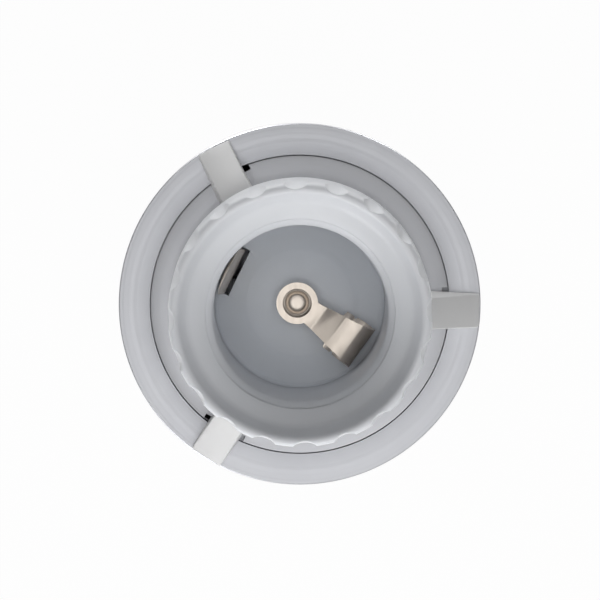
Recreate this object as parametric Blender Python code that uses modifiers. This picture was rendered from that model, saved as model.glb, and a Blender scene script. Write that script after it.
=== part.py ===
"""Edison-screw lampholder with a pull-cord switch behind it, in a turned aluminium cup.

The lamp axis is Z. The cup's flat rear face lies on z = 0 and the mouth of the bore looks along +Z. All
sizes are in metres. The sizes at the top drive the model, and everything that fits, seats on or passes
through another piece is worked out from them and from the named clearances.
"""

import math

import bmesh
import bpy
from mathutils import Matrix, Vector

MM = 0.001

# --- clearances -----------------------------------------------------------------------------------
FIT = 0.3 * MM  # between faces that touch on the real object
THREAD_GAP = 0.35 * MM  # between the grip ring and the barrel that it screws on
CUT_MARGIN = 1.0 * MM  # how far a cutter runs past a wall

# --- cup ------------------------------------------------------------------------------------------
CUP_WALL = 1.6 * MM
REAR_WALL = 2.0 * MM
REAR_CHAMFER = 1.8 * MM
FLANGE_RADIUS = 28.6 * MM
FLANGE_THICKNESS = 2.6 * MM
FLANGE_EDGE = 0.35 * MM
NECK_RISE = 2.4 * MM  # height over which the wall flares out to the flange
LEDGE_WIDTH = 1.55 * MM
LEDGE_THICKNESS = 1.8 * MM
COVER_THICKNESS = 1.7 * MM

# --- heights of the stack inside the cup, bottom up -----------------------------------------------
WIRING_SPACE = 8.0 * MM
CASE_FLOOR = 1.5 * MM
SPRING_SPACE = 2.8 * MM
LEVER_THICKNESS = 1.6 * MM
RATCHET_THICKNESS = 2.0 * MM
CROSS_RISE = 1.5 * MM  # from the ratchet teeth up to the contact cross
CROSS_THICKNESS = 0.6 * MM
ROTOR_TOP = 1.3 * MM  # hub above the contact cross
LID_THICKNESS = 1.5 * MM
STRAP_SPACE = 1.2 * MM  # under the straps, where the rivet's tail lies
STRAP_THICKNESS = 0.5 * MM
BASE_FLANGE_THICKNESS = 4.7 * MM
BASE_PLUG_HEIGHT = 2.5 * MM  # from the barrel's lower end up to the floor of the bore
BARREL_SKIRT = 5.0 * MM  # from the barrel's lower end up to the top of its flange
BARREL_FLANGE_THICKNESS = 2.0 * MM

# --- barrel and grip ring -------------------------------------------------------------------------
RIM_HEIGHT = 27.0 * MM  # above the cup's face
BORE_RADIUS = 13.5 * MM
THREAD_DEPTH = 0.35 * MM
THREAD_PITCH = 3.63 * MM
THREAD_TURNS = 4
THREAD_START = 3.5 * MM  # above the cup's face
BARREL_RADIUS = 17.3 * MM
SKIRT_RADIUS = 16.4 * MM
SKIRT_BORE = 14.2 * MM
LIP_WIDTH = 1.1 * MM  # of the barrel's end inside the grip ring's lip
RIM_BAND = 2.7 * MM  # width of the grip ring's sloping rim
RIM_DROP = 2.3 * MM  # from its crest down to the inside of the rim
FUNNEL_DROP = 1.3 * MM  # from there down to the edge of the lip
LIP_EDGE = 0.5 * MM  # thickness of the lip at its edge
GRIP_WALL = 2.55 * MM
GRIP_FLARE = 0.2 * MM
GRIP_EDGE = 0.4 * MM
GRIP_LIFT = 8.0 * MM  # grip ring's lower edge above the cup's face
FLUTE_COUNT = 20
FLUTE_PHASE = 2.0  # degrees
FLUTE_WIDTH = 4.1 * MM
FLUTE_DEPTH = 1.0 * MM
FLUTE_RUN = 9.0 * MM  # height over which a flute runs out

# --- clamp spider ---------------------------------------------------------------------------------
ARM_ANGLES = (120.3, -2.0, 239.4)  # degrees
ARM_WIDTH = 5.2 * MM
SPIDER_WALL = 1.7 * MM
ARM_TIP_HEIGHT = 0.9 * MM
ARM_CROWN = 0.35 * MM
LEG_WIDTH = 4.0 * MM
LEG_THICKNESS = 0.5 * MM
FOOT_REACH = 1.8 * MM
FOOT_HEIGHT = 1.0 * MM
SLOT_WIDE_SIDE = 4.6 * MM  # from an arm's middle to the open end of its slot in the ledge
NOTCH_WIDE_SIDES = (4.6 * MM, 2.5 * MM, 3.9 * MM)  # the same for its notch in the cover
NOTCH_NEAR_SIDE = 3.5 * MM

# --- contacts -------------------------------------------------------------------------------------
FLOOR_BOSS_RADIUS = 8.7 * MM
FLOOR_STEP = 0.4 * MM
BASE_FLANGE_LIP = 0.8 * MM
LEAF_ANGLE = -35.5  # degrees
LEAF_THICKNESS = 0.5 * MM
LEAF_RING_RADIUS = 3.3 * MM
LEAF_RING_HOLE = 2.3 * MM
LEAF_NECK = 4.05 * MM
LEAF_END_WIDTH = 6.1 * MM
FOLD_WIDTH = 7.3 * MM
FOOT_WIDTH = 3.8 * MM
FOOT_SPREAD = 5.0 * MM  # width of the foot where its ears start
FOLD_RADIUS = 1.45 * MM
FOLD_DISTANCE = 11.0 * MM
FOOT_TAIL = 2.2 * MM
FOOT_NECK = 7.3 * MM  # from the rivet out to the ears
FOOT_EAR_RUN = 0.45 * MM  # length over which the foot widens into its ears
RIVET_HEAD_RADIUS = 1.35 * MM
RIVET_HEAD_HEIGHT = 0.6 * MM
RIVET_RADIUS = 1.0 * MM
RIVET_TAIL_RADIUS = 1.7 * MM
SIDE_ANGLE = 154.0  # degrees
SIDE_WALL = 0.95 * MM  # of the contact base outside the blade's slot
SIDE_WIDTH = 8.0 * MM
SIDE_TAIL_WIDTH = 3.2 * MM
SIDE_THICKNESS = 0.5 * MM
SIDE_RISE = 8.0 * MM  # blade's top above the cup's face
SIDE_BULGE = 0.6 * MM
SIDE_BOW = (4.4 * MM, 3.0 * MM)  # lower and upper end of the bow, below the blade's top
SIDE_SWING = 1.1 * MM  # room behind the blade's top
SLOT_DEPTH = 2.3 * MM

# --- switch ---------------------------------------------------------------------------------------
AXLE_X = 8.6 * MM
AXLE_RADIUS = 1.5 * MM
LEVER_RADIUS = 10.0 * MM
LEVER_HUB = 4.5 * MM
LEVER_BOSS = 3.2 * MM
LEVER_STROKE = 45.0  # degrees
EYELET_RADIUS = 2.4 * MM
EYELET_HOLE = 1.1 * MM
PAWL_DISTANCE = 7.2 * MM
PAWL_ANGLE = -95.0  # degrees, at rest
PAWL_LEAD = 48.0  # degrees from the pawl's pin on to the tooth that it pushes
NOSE_ANGLES = (-6.5, -4.0, -15.0)  # degrees from that tooth: tip, front and back of the nose
PAWL_THICKNESS = 1.5 * MM
PAWL_EYE = 1.4 * MM
PAWL_PIN = 0.7 * MM
RATCHET_RADIUS = 5.2 * MM
RATCHET_TEETH = 8
TOOTH_DEPTH = 1.2 * MM
ROTOR_HUB = 3.0 * MM
CROSS_RADIUS = 6.0 * MM
CROSS_ARM = 2.4 * MM
CASE_WALL = 1.5 * MM
CASE_LEFT = -5.8 * MM
CASE_RIGHT = 18.2 * MM
CASE_HALF_WIDTH = 12.0 * MM
EAR_THICKNESS = 3.0 * MM
EAR_WIDTH = 6.4 * MM
SPRING_WIRE = 0.35 * MM  # radius
SPRING_COIL = 4.1 * MM
SPRING_TURNS = 2
SPRING_GAP = 0.2 * MM  # between turns
SPRING_LEG = 6.6 * MM
SPRING_LEG_LEAD = 13.0  # degrees between a leg and what it rests on
SPRING_POST_ANGLE = 90.0  # degrees
SPRING_LUG_ANGLE = 180.0  # degrees, at rest
BLADE_WIDTH = 3.0 * MM
BLADE_DIP = 1.0 * MM  # fixed blades reach this far below the contact cross

# --- fasteners and terminals ----------------------------------------------------------------------
SCREW_RADIUS = 1.25 * MM
SCREW_HEAD = 2.4 * MM
SCREW_HEAD_HEIGHT = 1.7 * MM
SCREW_SLOT = 0.6 * MM
SCREW_ROUNDING = 0.36 * MM  # of the head's edge
PILLAR_DISTANCE = 18.2 * MM
PILLAR_ANGLE = 70.0  # degrees
PILLAR_RADIUS = 2.8 * MM
TERMINAL_SIZE = (6.0 * MM, 6.6 * MM, 8.0 * MM)
TERMINAL_X = -15.2 * MM
TERMINAL_Y = 6.9 * MM
WIRE_HOLE = 1.3 * MM
BLOCK_LEFT = -19.2 * MM
BLOCK_RIGHT = -6.4 * MM
BLOCK_HALF_WIDTH = 11.4 * MM
BLOCK_FLOOR = 1.7 * MM
BLOCK_GAP = 1.27 * MM  # between the block's corners and the cup's wall
BLOCK_SCREW = (-10.5 * MM, -1.3 * MM)

# --- bushes ---------------------------------------------------------------------------------------
ENTRY_BORE = 4.6 * MM
ENTRY_WALL = 1.9 * MM
ENTRY_FLANGE = 2.5 * MM  # how far the flange stands out
ENTRY_FLANGE_THICKNESS = 1.5 * MM
ENTRY_HEIGHT = 6.5 * MM
GRUB_RADIUS = 1.2 * MM
GRUB_LENGTH = 3.2 * MM
CORD_HOLE = 1.6 * MM
CORD_MOUTH = 2.9 * MM
CORD_BUSH_RADIUS = 2.8 * MM
CORD_BUSH_HEAD = 4.0 * MM
CORD_BUSH_HEAD_THICKNESS = 1.8 * MM
CORD_BUSH_TAIL = 3.2 * MM  # shank inside the cup
NUT_RADIUS = 4.5 * MM
NUT_THICKNESS = 2.0 * MM
EARTH_ANGLE = 211.5  # degrees
EARTH_GAP = 2.0 * MM  # between the washer and the cup's wall
WASHER_RADIUS = 3.4 * MM
WASHER_THICKNESS = 0.8 * MM

ROUND = 48  # sides of a large turned piece
SMALL_ROUND = 20  # sides of a small one

# --- heights that follow --------------------------------------------------------------------------
CASE_Z = REAR_WALL + WIRING_SPACE
CASE_FLOOR_TOP = CASE_Z + CASE_FLOOR
LEVER_Z = CASE_FLOOR_TOP + FIT + SPRING_SPACE
LEVER_TOP = LEVER_Z + LEVER_THICKNESS
RATCHET_Z = LEVER_TOP + FIT
RATCHET_TOP = RATCHET_Z + RATCHET_THICKNESS
CROSS_Z = RATCHET_TOP + CROSS_RISE
CROSS_TOP = CROSS_Z + CROSS_THICKNESS
ROTOR_TOP_Z = CROSS_TOP + ROTOR_TOP
CASE_TOP = ROTOR_TOP_Z
LID_Z = CASE_TOP + FIT
LID_TOP = LID_Z + LID_THICKNESS
STRAP_Z = LID_TOP + STRAP_SPACE
STRAP_TOP = STRAP_Z + STRAP_THICKNESS
BASE_Z = STRAP_TOP + FIT
BASE_FLANGE_TOP = BASE_Z + BASE_FLANGE_THICKNESS
BARREL_END = BASE_FLANGE_TOP + FIT
FLOOR_Z = BARREL_END + BASE_PLUG_HEIGHT
LEDGE_TOP = BARREL_END + BARREL_SKIRT
LEDGE_Z = LEDGE_TOP - LEDGE_THICKNESS
COVER_Z = LEDGE_TOP + FIT
FACE_Z = COVER_Z + COVER_THICKNESS
SPIDER_Z = FACE_Z + FIT
GRIP_Z = FACE_Z + GRIP_LIFT
SPIDER_TOP = GRIP_Z - FIT
RIM_Z = FACE_Z + RIM_HEIGHT
RIM_INNER_Z = RIM_Z - RIM_DROP
LIP_Z = RIM_INNER_Z - FUNNEL_DROP
MOUTH_Z = LIP_Z - LIP_EDGE - FIT

# --- radii that follow ----------------------------------------------------------------------------
CUP_BORE = math.hypot(BLOCK_LEFT, BLOCK_HALF_WIDTH) + BLOCK_GAP
CUP_RADIUS = CUP_BORE + CUP_WALL
SEAM_RADIUS = CUP_BORE
EARTH_DISTANCE = CUP_BORE - WASHER_RADIUS - EARTH_GAP
LIP_RADIUS = SEAM_RADIUS + FIT / 2
COVER_RADIUS = SEAM_RADIUS - FIT / 2
LEDGE_RADIUS = SEAM_RADIUS - LEDGE_WIDTH
COLLAR_BORE = BARREL_RADIUS + THREAD_GAP
GRIP_RADIUS = COLLAR_BORE + GRIP_WALL
LIP_BORE = BORE_RADIUS + LIP_WIDTH
BARREL_FLANGE_RADIUS = LEDGE_RADIUS - FIT
BASE_PLUG_RADIUS = SKIRT_BORE - FIT
BASE_FLANGE_RADIUS = SKIRT_BORE + BASE_FLANGE_LIP
SIDE_RADIUS = BASE_PLUG_RADIUS - SIDE_WALL - SLOT_DEPTH / 2
SPIDER_RADIUS = COLLAR_BORE + SPIDER_WALL
FOOT_HALF = LEG_WIDTH / 2 + FOOT_REACH
LEG_OUTER = math.sqrt((CUP_BORE - FIT / 2) ** 2 - FOOT_HALF ** 2)
LEG_INNER = LEG_OUTER - LEG_THICKNESS
ARM_REACH = math.sqrt(FLANGE_RADIUS ** 2 - ARM_WIDTH ** 2 / 4) - FIT / 2
AXLE = (AXLE_X, 0.0)
AXLE_BORE = AXLE_RADIUS + FIT
SCREW_BORE = SCREW_RADIUS + FIT
RIVET_BORE = RIVET_RADIUS + FIT
ENTRY_RADIUS = ENTRY_BORE + ENTRY_WALL
PAWL_HOLE = PAWL_PIN + FIT
TERMINAL_Z = CASE_Z + EAR_THICKNESS + BLOCK_FLOOR + FIT
TERMINAL_TOP = TERMINAL_Z + TERMINAL_SIZE[2]
BLOCK_Z = CASE_Z + EAR_THICKNESS
BLOCK_TOP = LID_TOP + STRAP_SPACE / 2
CORD_Z = LEVER_Z + LEVER_THICKNESS / 2
LEAF_TOP = FLOOR_Z + FIT + LEAF_THICKNESS + 2 * FOLD_RADIUS
SIDE_PIVOT_Z = BASE_Z + SIDE_THICKNESS
SIDE_POCKET_X = -(SIDE_RADIUS * math.cos(math.radians(180 - SIDE_ANGLE)) - SIDE_TAIL_WIDTH / 2)

# --- finishes: colour, roughness, metallic --------------------------------------------------------
ALUMINIUM = ("satin_aluminium", (0.60, 0.61, 0.64), 0.42, 1.0)
WHITE = ("white_moulding", (0.80, 0.80, 0.80), 0.40, 0.0)
ARM_WHITE = ("arm_moulding", (0.76, 0.76, 0.76), 0.42, 0.0)
FLOOR_GREY = ("grey_moulding", (0.36, 0.39, 0.42), 0.50, 0.0)
NICKEL = ("nickel_plate", (0.66, 0.62, 0.57), 0.28, 1.0)
BRASS = ("bright_brass", (0.75, 0.58, 0.30), 0.32, 1.0)
STEEL = ("zinc_plated_steel", (0.62, 0.63, 0.66), 0.35, 1.0)
BLACK = ("dark_moulding", (0.05, 0.05, 0.055), 0.45, 0.0)
BRONZE = ("phosphor_bronze", (0.68, 0.42, 0.26), 0.33, 1.0)


def clear_scene():
    """Removes what the scene starts with and makes the two collections."""
    for old in list(bpy.data.objects):
        bpy.data.objects.remove(old, do_unlink=True)
    for name in ("pull_cord_lampholder", "cutters"):
        bpy.context.scene.collection.children.link(bpy.data.collections.new(name))


def finish_of(finish):
    """The Principled material of a finish, made once."""
    name, colour, roughness, metallic = finish
    made = bpy.data.materials.get(name)
    if made:
        return made
    made = bpy.data.materials.new(name)
    made.use_nodes = True
    shader = made.node_tree.nodes["Principled BSDF"]
    shader.inputs["Base Color"].default_value = (*colour, 1.0)
    shader.inputs["Roughness"].default_value = roughness
    shader.inputs["Metallic"].default_value = metallic
    made.diffuse_color = (*colour, 1.0)
    return made


def add_object(name, mesh, finish=None):
    """An object for the mesh: a part with a finish, or a hidden cutter without one."""
    made = bpy.data.objects.new(name, mesh)
    if finish is None:
        bpy.data.collections["cutters"].objects.link(made)
        made.hide_render = True
        made.display_type = "WIRE"
    else:
        bpy.data.collections["pull_cord_lampholder"].objects.link(made)
        mesh.materials.append(finish_of(finish))
    return made


def mesh_of(name, work):
    """A mesh datablock from a bmesh, which is freed."""
    bmesh.ops.recalc_face_normals(work, faces=work.faces)
    mesh = bpy.data.meshes.new(name)
    work.to_mesh(mesh)
    work.free()
    return mesh


def settle(part):
    """Applies a part's modifiers and shades it smooth up to its sharp edges."""
    bpy.context.view_layer.update()
    graph = bpy.context.evaluated_depsgraph_get()
    mesh = bpy.data.meshes.new_from_object(part.evaluated_get(graph))
    part.modifiers.clear()
    part.data = mesh
    mesh.shade_smooth()
    mesh.set_sharp_from_angle(angle=math.radians(30))
    return part


def pivot(part, x, y, z):
    """Puts a moving part's origin on its joint's axis, with its shape where it was."""
    part.data.transform(Matrix.Translation((-x, -y, -z)))
    part.location = (x, y, z)
    return part


def turned(name, profile, finish=None, sides=ROUND, closed=True):
    """A profile of (radius, height) points, top to bottom down its outer side, screwed round Z."""
    work = bmesh.new()
    points = [work.verts.new((radius, 0, height)) for radius, height in profile]
    for start, end in zip(points, points[1:]):
        work.edges.new((start, end))
    if closed:
        work.edges.new((points[-1], points[0]))
    mesh = bpy.data.meshes.new(name)
    work.to_mesh(mesh)
    work.free()
    made = add_object(name, mesh, finish)
    screw = made.modifiers.new("turn", "SCREW")
    screw.steps = sides
    screw.render_steps = sides
    screw.use_merge_vertices = True
    screw.merge_threshold = 0.01 * MM
    return made


def pin(name, radius, low, high, finish=None, at=(0, 0), sides=SMALL_ROUND):
    """A cylinder along Z from low to high."""
    work = bmesh.new()
    place = Matrix.Translation((at[0], at[1], (low + high) / 2))
    bmesh.ops.create_cone(
        work, cap_ends=True, segments=sides, radius1=radius, radius2=radius, depth=high - low, matrix=place
    )
    return add_object(name, mesh_of(name, work), finish)


def block(name, low, high, finish=None, turn=0.0):
    """A box between two corners, turned about the lamp axis by an angle in degrees."""
    size = Vector(high) - Vector(low)
    middle = (Vector(high) + Vector(low)) / 2
    work = bmesh.new()
    place = Matrix.Translation(middle) @ Matrix.Diagonal((*size, 1))
    bmesh.ops.create_cube(work, size=1, matrix=Matrix.Rotation(math.radians(turn), 4, "Z") @ place)
    return add_object(name, mesh_of(name, work), finish)


def plate(name, outline, low, high, finish=None):
    """A flat outline of (x, y) points, given a thickness from low to high."""
    curve = bpy.data.curves.new(name, "CURVE")
    curve.dimensions = "2D"
    curve.fill_mode = "BOTH"
    curve.extrude = (high - low) / 2
    line = curve.splines.new("POLY")
    line.points.add(len(outline) - 1)
    for point, (x, y) in zip(line.points, outline):
        point.co = (x, y, 0, 1)
    line.use_cyclic_u = True
    guide = bpy.data.objects.new(name + "_outline", curve)
    bpy.context.scene.collection.objects.link(guide)
    bpy.context.view_layer.update()
    mesh = bpy.data.meshes.new_from_object(guide.evaluated_get(bpy.context.evaluated_depsgraph_get()))
    bpy.data.objects.remove(guide)
    work = bmesh.new()
    work.from_mesh(mesh)
    bmesh.ops.remove_doubles(work, verts=work.verts, dist=0.001 * MM)
    bmesh.ops.translate(work, verts=work.verts, vec=(0, 0, (low + high) / 2))
    return add_object(name, mesh_of(name, work), finish)


def strip(name, path, widths, thickness, turn, finish):
    """A bent metal strip through (radius, height) points, with its width at each, turned to an angle."""
    work = bmesh.new()
    sides = []
    for (radius, height), width in zip(path, widths):
        sides.append([work.verts.new((radius, side * width / 2, height)) for side in (-1, 1)])
    for (a, b), (c, d) in zip(sides, sides[1:]):
        work.faces.new((a, c, d, b))
    bmesh.ops.rotate(work, verts=work.verts, matrix=Matrix.Rotation(math.radians(turn), 3, "Z"))
    made = add_object(name, mesh_of(name, work), finish)
    wall = made.modifiers.new("wall", "SOLIDIFY")
    wall.thickness = thickness
    wall.offset = 0
    wall.use_even_offset = True
    return made


def combine(part, other, operation):
    """Adds a Boolean of the given operation with a helper."""
    step = part.modifiers.new(other.name, "BOOLEAN")
    step.operation = operation
    step.object = other
    step.solver = "EXACT"


def cut(part, *cutters):
    """Cuts each cutter out of the part."""
    for cutter in cutters:
        combine(part, cutter, "DIFFERENCE")


def join(part, *pieces):
    """Joins each piece to the part."""
    for piece in pieces:
        combine(part, piece, "UNION")


def on_circle(radius, angle, centre=(0.0, 0.0)):
    """The (x, y) point at a radius and an angle in degrees."""
    turn = math.radians(angle)
    return (centre[0] + radius * math.cos(turn), centre[1] + radius * math.sin(turn))


def arc(radius, first, last, count, centre=(0.0, 0.0)):
    """Points along an arc, both ends included."""
    return [on_circle(radius, first + (last - first) * i / count, centre) for i in range(count + 1)]


def paddle(centre_a, radius_a, centre_b, radius_b, count=10):
    """The outline round two circles and the straight sides between them."""
    apart = Vector(centre_b) - Vector(centre_a)
    facing = math.degrees(math.atan2(apart.y, apart.x))
    tangent = math.degrees(math.acos((radius_a - radius_b) / apart.length))
    far = arc(radius_b, facing - tangent, facing + tangent, count, centre_b)
    near = arc(radius_a, facing + tangent, facing + 360 - tangent, count + 4, centre_a)
    return far + near


def slotted_screw(name, at, head_z, tip_z, head=SCREW_HEAD):
    """A screw along Z whose slotted head lies at head_z and whose tip reaches tip_z."""
    up = 1 if tip_z > head_z else -1
    under = head_z + up * SCREW_HEAD_HEIGHT
    shank = SCREW_RADIUS
    edge = SCREW_ROUNDING
    profile = [(0, head_z), (head - edge, head_z), (head, head_z + up * edge), (head, under)]
    profile += [(shank, under), (shank, tip_z - up * shank / 2), (shank / 2, tip_z), (0, tip_z)]
    if up > 0:
        profile.reverse()
    screw = turned(name, profile, STEEL, sides=SMALL_ROUND, closed=False)
    reach = head + FIT
    low, high = sorted((head_z - up * FIT, head_z + up * SCREW_HEAD_HEIGHT / 2))
    slot = block(name + "_slot", (-reach, -SCREW_SLOT / 2, low), (reach, SCREW_SLOT / 2, high))
    cut(screw, slot)
    settle(screw)
    screw.data.transform(Matrix.Translation((at[0], at[1], 0)))
    return screw


# --- cup, cover and clamp spider ------------------------------------------------------------------


def housing_cup():
    """Turned cup with its flat rear face, the face ring and the ledge that the spider's feet hook under."""
    flange_z = FACE_Z - FLANGE_THICKNESS
    outside = [
        (LIP_RADIUS, FACE_Z),
        (FLANGE_RADIUS - FLANGE_EDGE, FACE_Z),
        (FLANGE_RADIUS, FACE_Z - FLANGE_EDGE),
        (FLANGE_RADIUS, flange_z + FLANGE_EDGE),
        (FLANGE_RADIUS - FLANGE_EDGE, flange_z),
        (CUP_RADIUS + FLANGE_EDGE, flange_z - NECK_RISE / 4),
        (CUP_RADIUS, flange_z - NECK_RISE),
        (CUP_RADIUS, REAR_CHAMFER),
        (CUP_RADIUS - REAR_CHAMFER / 4, REAR_CHAMFER / 4),
        (CUP_RADIUS - REAR_CHAMFER, 0),
    ]
    inside = [
        (ENTRY_RADIUS + FIT, 0),
        (ENTRY_RADIUS + FIT, REAR_WALL),
        (CUP_BORE, REAR_WALL),
        (CUP_BORE, LEDGE_Z),
        (LEDGE_RADIUS, LEDGE_Z),
        (LEDGE_RADIUS, LEDGE_TOP),
        (LIP_RADIUS, LEDGE_TOP),
    ]
    cup = turned("housing_cup", outside + inside, ALUMINIUM)
    for number, angle in enumerate(ARM_ANGLES):
        low = (LEDGE_RADIUS - FIT, -SLOT_WIDE_SIDE, LEDGE_Z - FIT)
        high = (CUP_BORE, LEG_WIDTH / 2 + FIT, LEDGE_TOP + FIT)
        cut(cup, block(f"ledge_slot_{number + 1}", low, high, turn=angle))
    side_hole = pin("cord_hole", CORD_BUSH_RADIUS + FIT, -CUP_RADIUS - CUT_MARGIN, -CUP_BORE + CUT_MARGIN)
    side_hole.data.transform(Matrix.Translation((0, 0, CORD_Z)) @ Matrix.Rotation(math.radians(-90), 4, "X"))
    cut(cup, side_hole)
    cut(cup, pin("earth_hole", SCREW_BORE, -FIT, REAR_WALL + FIT, at=on_circle(EARTH_DISTANCE, EARTH_ANGLE)))
    return settle(cup)


def cover_plate():
    """Disc in the mouth of the cup, notched at its edge for the spider's legs."""
    profile = [
        (COVER_RADIUS, FACE_Z),
        (COVER_RADIUS, COVER_Z),
        (COLLAR_BORE, COVER_Z),
        (COLLAR_BORE, FACE_Z),
    ]
    plate_part = turned("cover_plate", profile, ALUMINIUM)
    for number, (angle, wide_side) in enumerate(zip(ARM_ANGLES, NOTCH_WIDE_SIDES)):
        low = (LEG_INNER - FIT, -wide_side, COVER_Z - FIT)
        high = (SEAM_RADIUS + FIT, NOTCH_NEAR_SIDE, FACE_Z + FIT)
        cut(plate_part, block(f"cover_notch_{number + 1}", low, high, turn=angle))
    return settle(plate_part)


# Turns a plate's X to Y, Y to Z and Z to X.
STAND_UP = Matrix(((0, 0, 1, 0), (1, 0, 0, 0), (0, 1, 0, 0), (0, 0, 0, 1)))


def spider_arm(number, angle):
    """A rib that slopes out to the edge of the face, and a leg whose foot hooks under the ledge."""
    slope = [(ARM_REACH, SPIDER_Z), (ARM_REACH, FACE_Z + ARM_TIP_HEIGHT)]
    steps = 6
    run = ARM_REACH - SPIDER_RADIUS
    rise = SPIDER_TOP - FACE_Z - ARM_TIP_HEIGHT
    for i in range(1, steps + 1):
        share = i / steps
        crown = ARM_CROWN * math.sin(math.pi * share)
        slope.append((ARM_REACH - run * share, FACE_Z + ARM_TIP_HEIGHT + rise * share + crown))
    inner = COLLAR_BORE + SPIDER_WALL / 2
    outline = slope + [(inner, SPIDER_TOP), (inner, SPIDER_Z)]
    rib = plate(f"rib_{number}", outline, -ARM_WIDTH / 2, ARM_WIDTH / 2)
    turn = Matrix.Rotation(math.radians(angle), 4, "Z")
    rib.data.transform(turn @ Matrix.Rotation(math.radians(90), 4, "X"))
    hook_top = LEDGE_Z - FIT
    foot_z = hook_top - FOOT_HEIGHT
    half = LEG_WIDTH / 2
    hook = [(-half, foot_z), (FOOT_HALF, foot_z), (FOOT_HALF, hook_top), (half, hook_top)]
    hook += [(half, SPIDER_Z + FIT), (-half, SPIDER_Z + FIT)]
    leg = plate(f"leg_{number}", hook, LEG_INNER, LEG_OUTER)
    leg.data.transform(turn @ STAND_UP)
    return rib, leg


def clamp_spider():
    """Ring under the grip ring with three arms."""
    profile = [
        (SPIDER_RADIUS, SPIDER_TOP),
        (SPIDER_RADIUS, SPIDER_Z),
        (COLLAR_BORE, SPIDER_Z),
        (COLLAR_BORE, SPIDER_TOP),
    ]
    spider = turned("clamp_spider", profile, ARM_WHITE)
    for number, angle in enumerate(ARM_ANGLES):
        join(spider, *spider_arm(number + 1, angle))
    return settle(spider)


# --- grip ring and barrel -------------------------------------------------------------------------


def grip_ring():
    """Fluted ring whose rim slopes in to a lip over the barrel's end; its flutes run out down its side."""
    profile = [
        (LIP_BORE, LIP_Z),
        (GRIP_RADIUS - RIM_BAND, RIM_INNER_Z),
        (GRIP_RADIUS - 2 * GRIP_EDGE, RIM_Z - GRIP_EDGE / 2),
        (GRIP_RADIUS - GRIP_EDGE, RIM_Z),
        (GRIP_RADIUS - GRIP_EDGE / 4, RIM_Z - GRIP_EDGE / 4),
        (GRIP_RADIUS, RIM_Z - GRIP_EDGE),
        (GRIP_RADIUS + GRIP_FLARE, GRIP_Z + GRIP_EDGE),
        (GRIP_RADIUS + GRIP_FLARE - GRIP_EDGE, GRIP_Z),
        (COLLAR_BORE, GRIP_Z),
        (COLLAR_BORE, LIP_Z - LIP_EDGE),
        (LIP_BORE, LIP_Z - LIP_EDGE),
    ]
    ring = turned("grip_ring", profile, WHITE, sides=3 * FLUTE_COUNT)
    flute_radius = FLUTE_WIDTH ** 2 / (8 * FLUTE_DEPTH) + FLUTE_DEPTH / 2
    tilt = math.atan2(FLUTE_DEPTH, FLUTE_RUN)
    out = Matrix.Translation((GRIP_RADIUS - FLUTE_DEPTH + flute_radius, 0, RIM_Z))
    lean = Matrix.Rotation(-tilt, 4, "Y")
    reach = FLUTE_RUN + CUT_MARGIN
    for number in range(FLUTE_COUNT):
        turn = Matrix.Rotation(math.radians(FLUTE_PHASE + 360 / FLUTE_COUNT * number), 4, "Z")
        flute = pin(f"flute_{number + 1}", flute_radius, -reach, reach, sides=14)
        flute.data.transform(turn @ out @ lean)
        cut(ring, flute)
    return settle(ring)


def barrel_bore():
    """The bore's profile, bottom up: shallow rounded thread, then the bevelled mouth."""
    points = [(BORE_RADIUS, FLOOR_Z + FIT)]
    for turn in range(THREAD_TURNS):
        root = FACE_Z + THREAD_START + turn * THREAD_PITCH
        points.append((BORE_RADIUS, root))
        points.append((BORE_RADIUS - THREAD_DEPTH, root + THREAD_PITCH / 2))
    points.append((BORE_RADIUS, FACE_Z + THREAD_START + THREAD_TURNS * THREAD_PITCH))
    points += [(BORE_RADIUS, MOUTH_Z - LIP_WIDTH), (BORE_RADIUS + LIP_WIDTH, MOUTH_Z)]
    return points


def pillar_at(number):
    """The middle of one of the two screw pillars."""
    return on_circle(PILLAR_DISTANCE, PILLAR_ANGLE + 180 * number)


def lamp_barrel():
    """Barrel: threaded tube, clamped flange, skirt round the contact base and two screw pillars."""
    flange_z = LEDGE_TOP - BARREL_FLANGE_THICKNESS
    profile = [
        (BARREL_RADIUS, MOUTH_Z),
        (BARREL_RADIUS, LEDGE_TOP),
        (BARREL_FLANGE_RADIUS, LEDGE_TOP),
        (BARREL_FLANGE_RADIUS, flange_z),
        (SKIRT_RADIUS, flange_z),
        (SKIRT_RADIUS, BARREL_END),
        (SKIRT_BORE, BARREL_END),
        (SKIRT_BORE, FLOOR_Z + FIT),
    ]
    barrel = turned("lamp_barrel", profile + barrel_bore(), WHITE)
    foot = CASE_Z + EAR_THICKNESS + FIT
    for number in range(2):
        at = pillar_at(number)
        join(barrel, pin(f"pillar_{number + 1}", PILLAR_RADIUS, foot, LEDGE_TOP - FIT, at=at))
        cut(barrel, pin(f"pillar_hole_{number + 1}", SCREW_BORE, foot - FIT, BASE_Z + FIT, at=at))
    half = SIDE_WIDTH / 2 + 2 * FIT
    low = (SIDE_RADIUS, -half, FLOOR_Z - FIT)
    high = (BORE_RADIUS + SIDE_SWING, half, FACE_Z + SIDE_RISE + 4 * FIT)
    cut(barrel, block("side_pocket", low, high, turn=SIDE_ANGLE))
    return settle(barrel)


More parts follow.
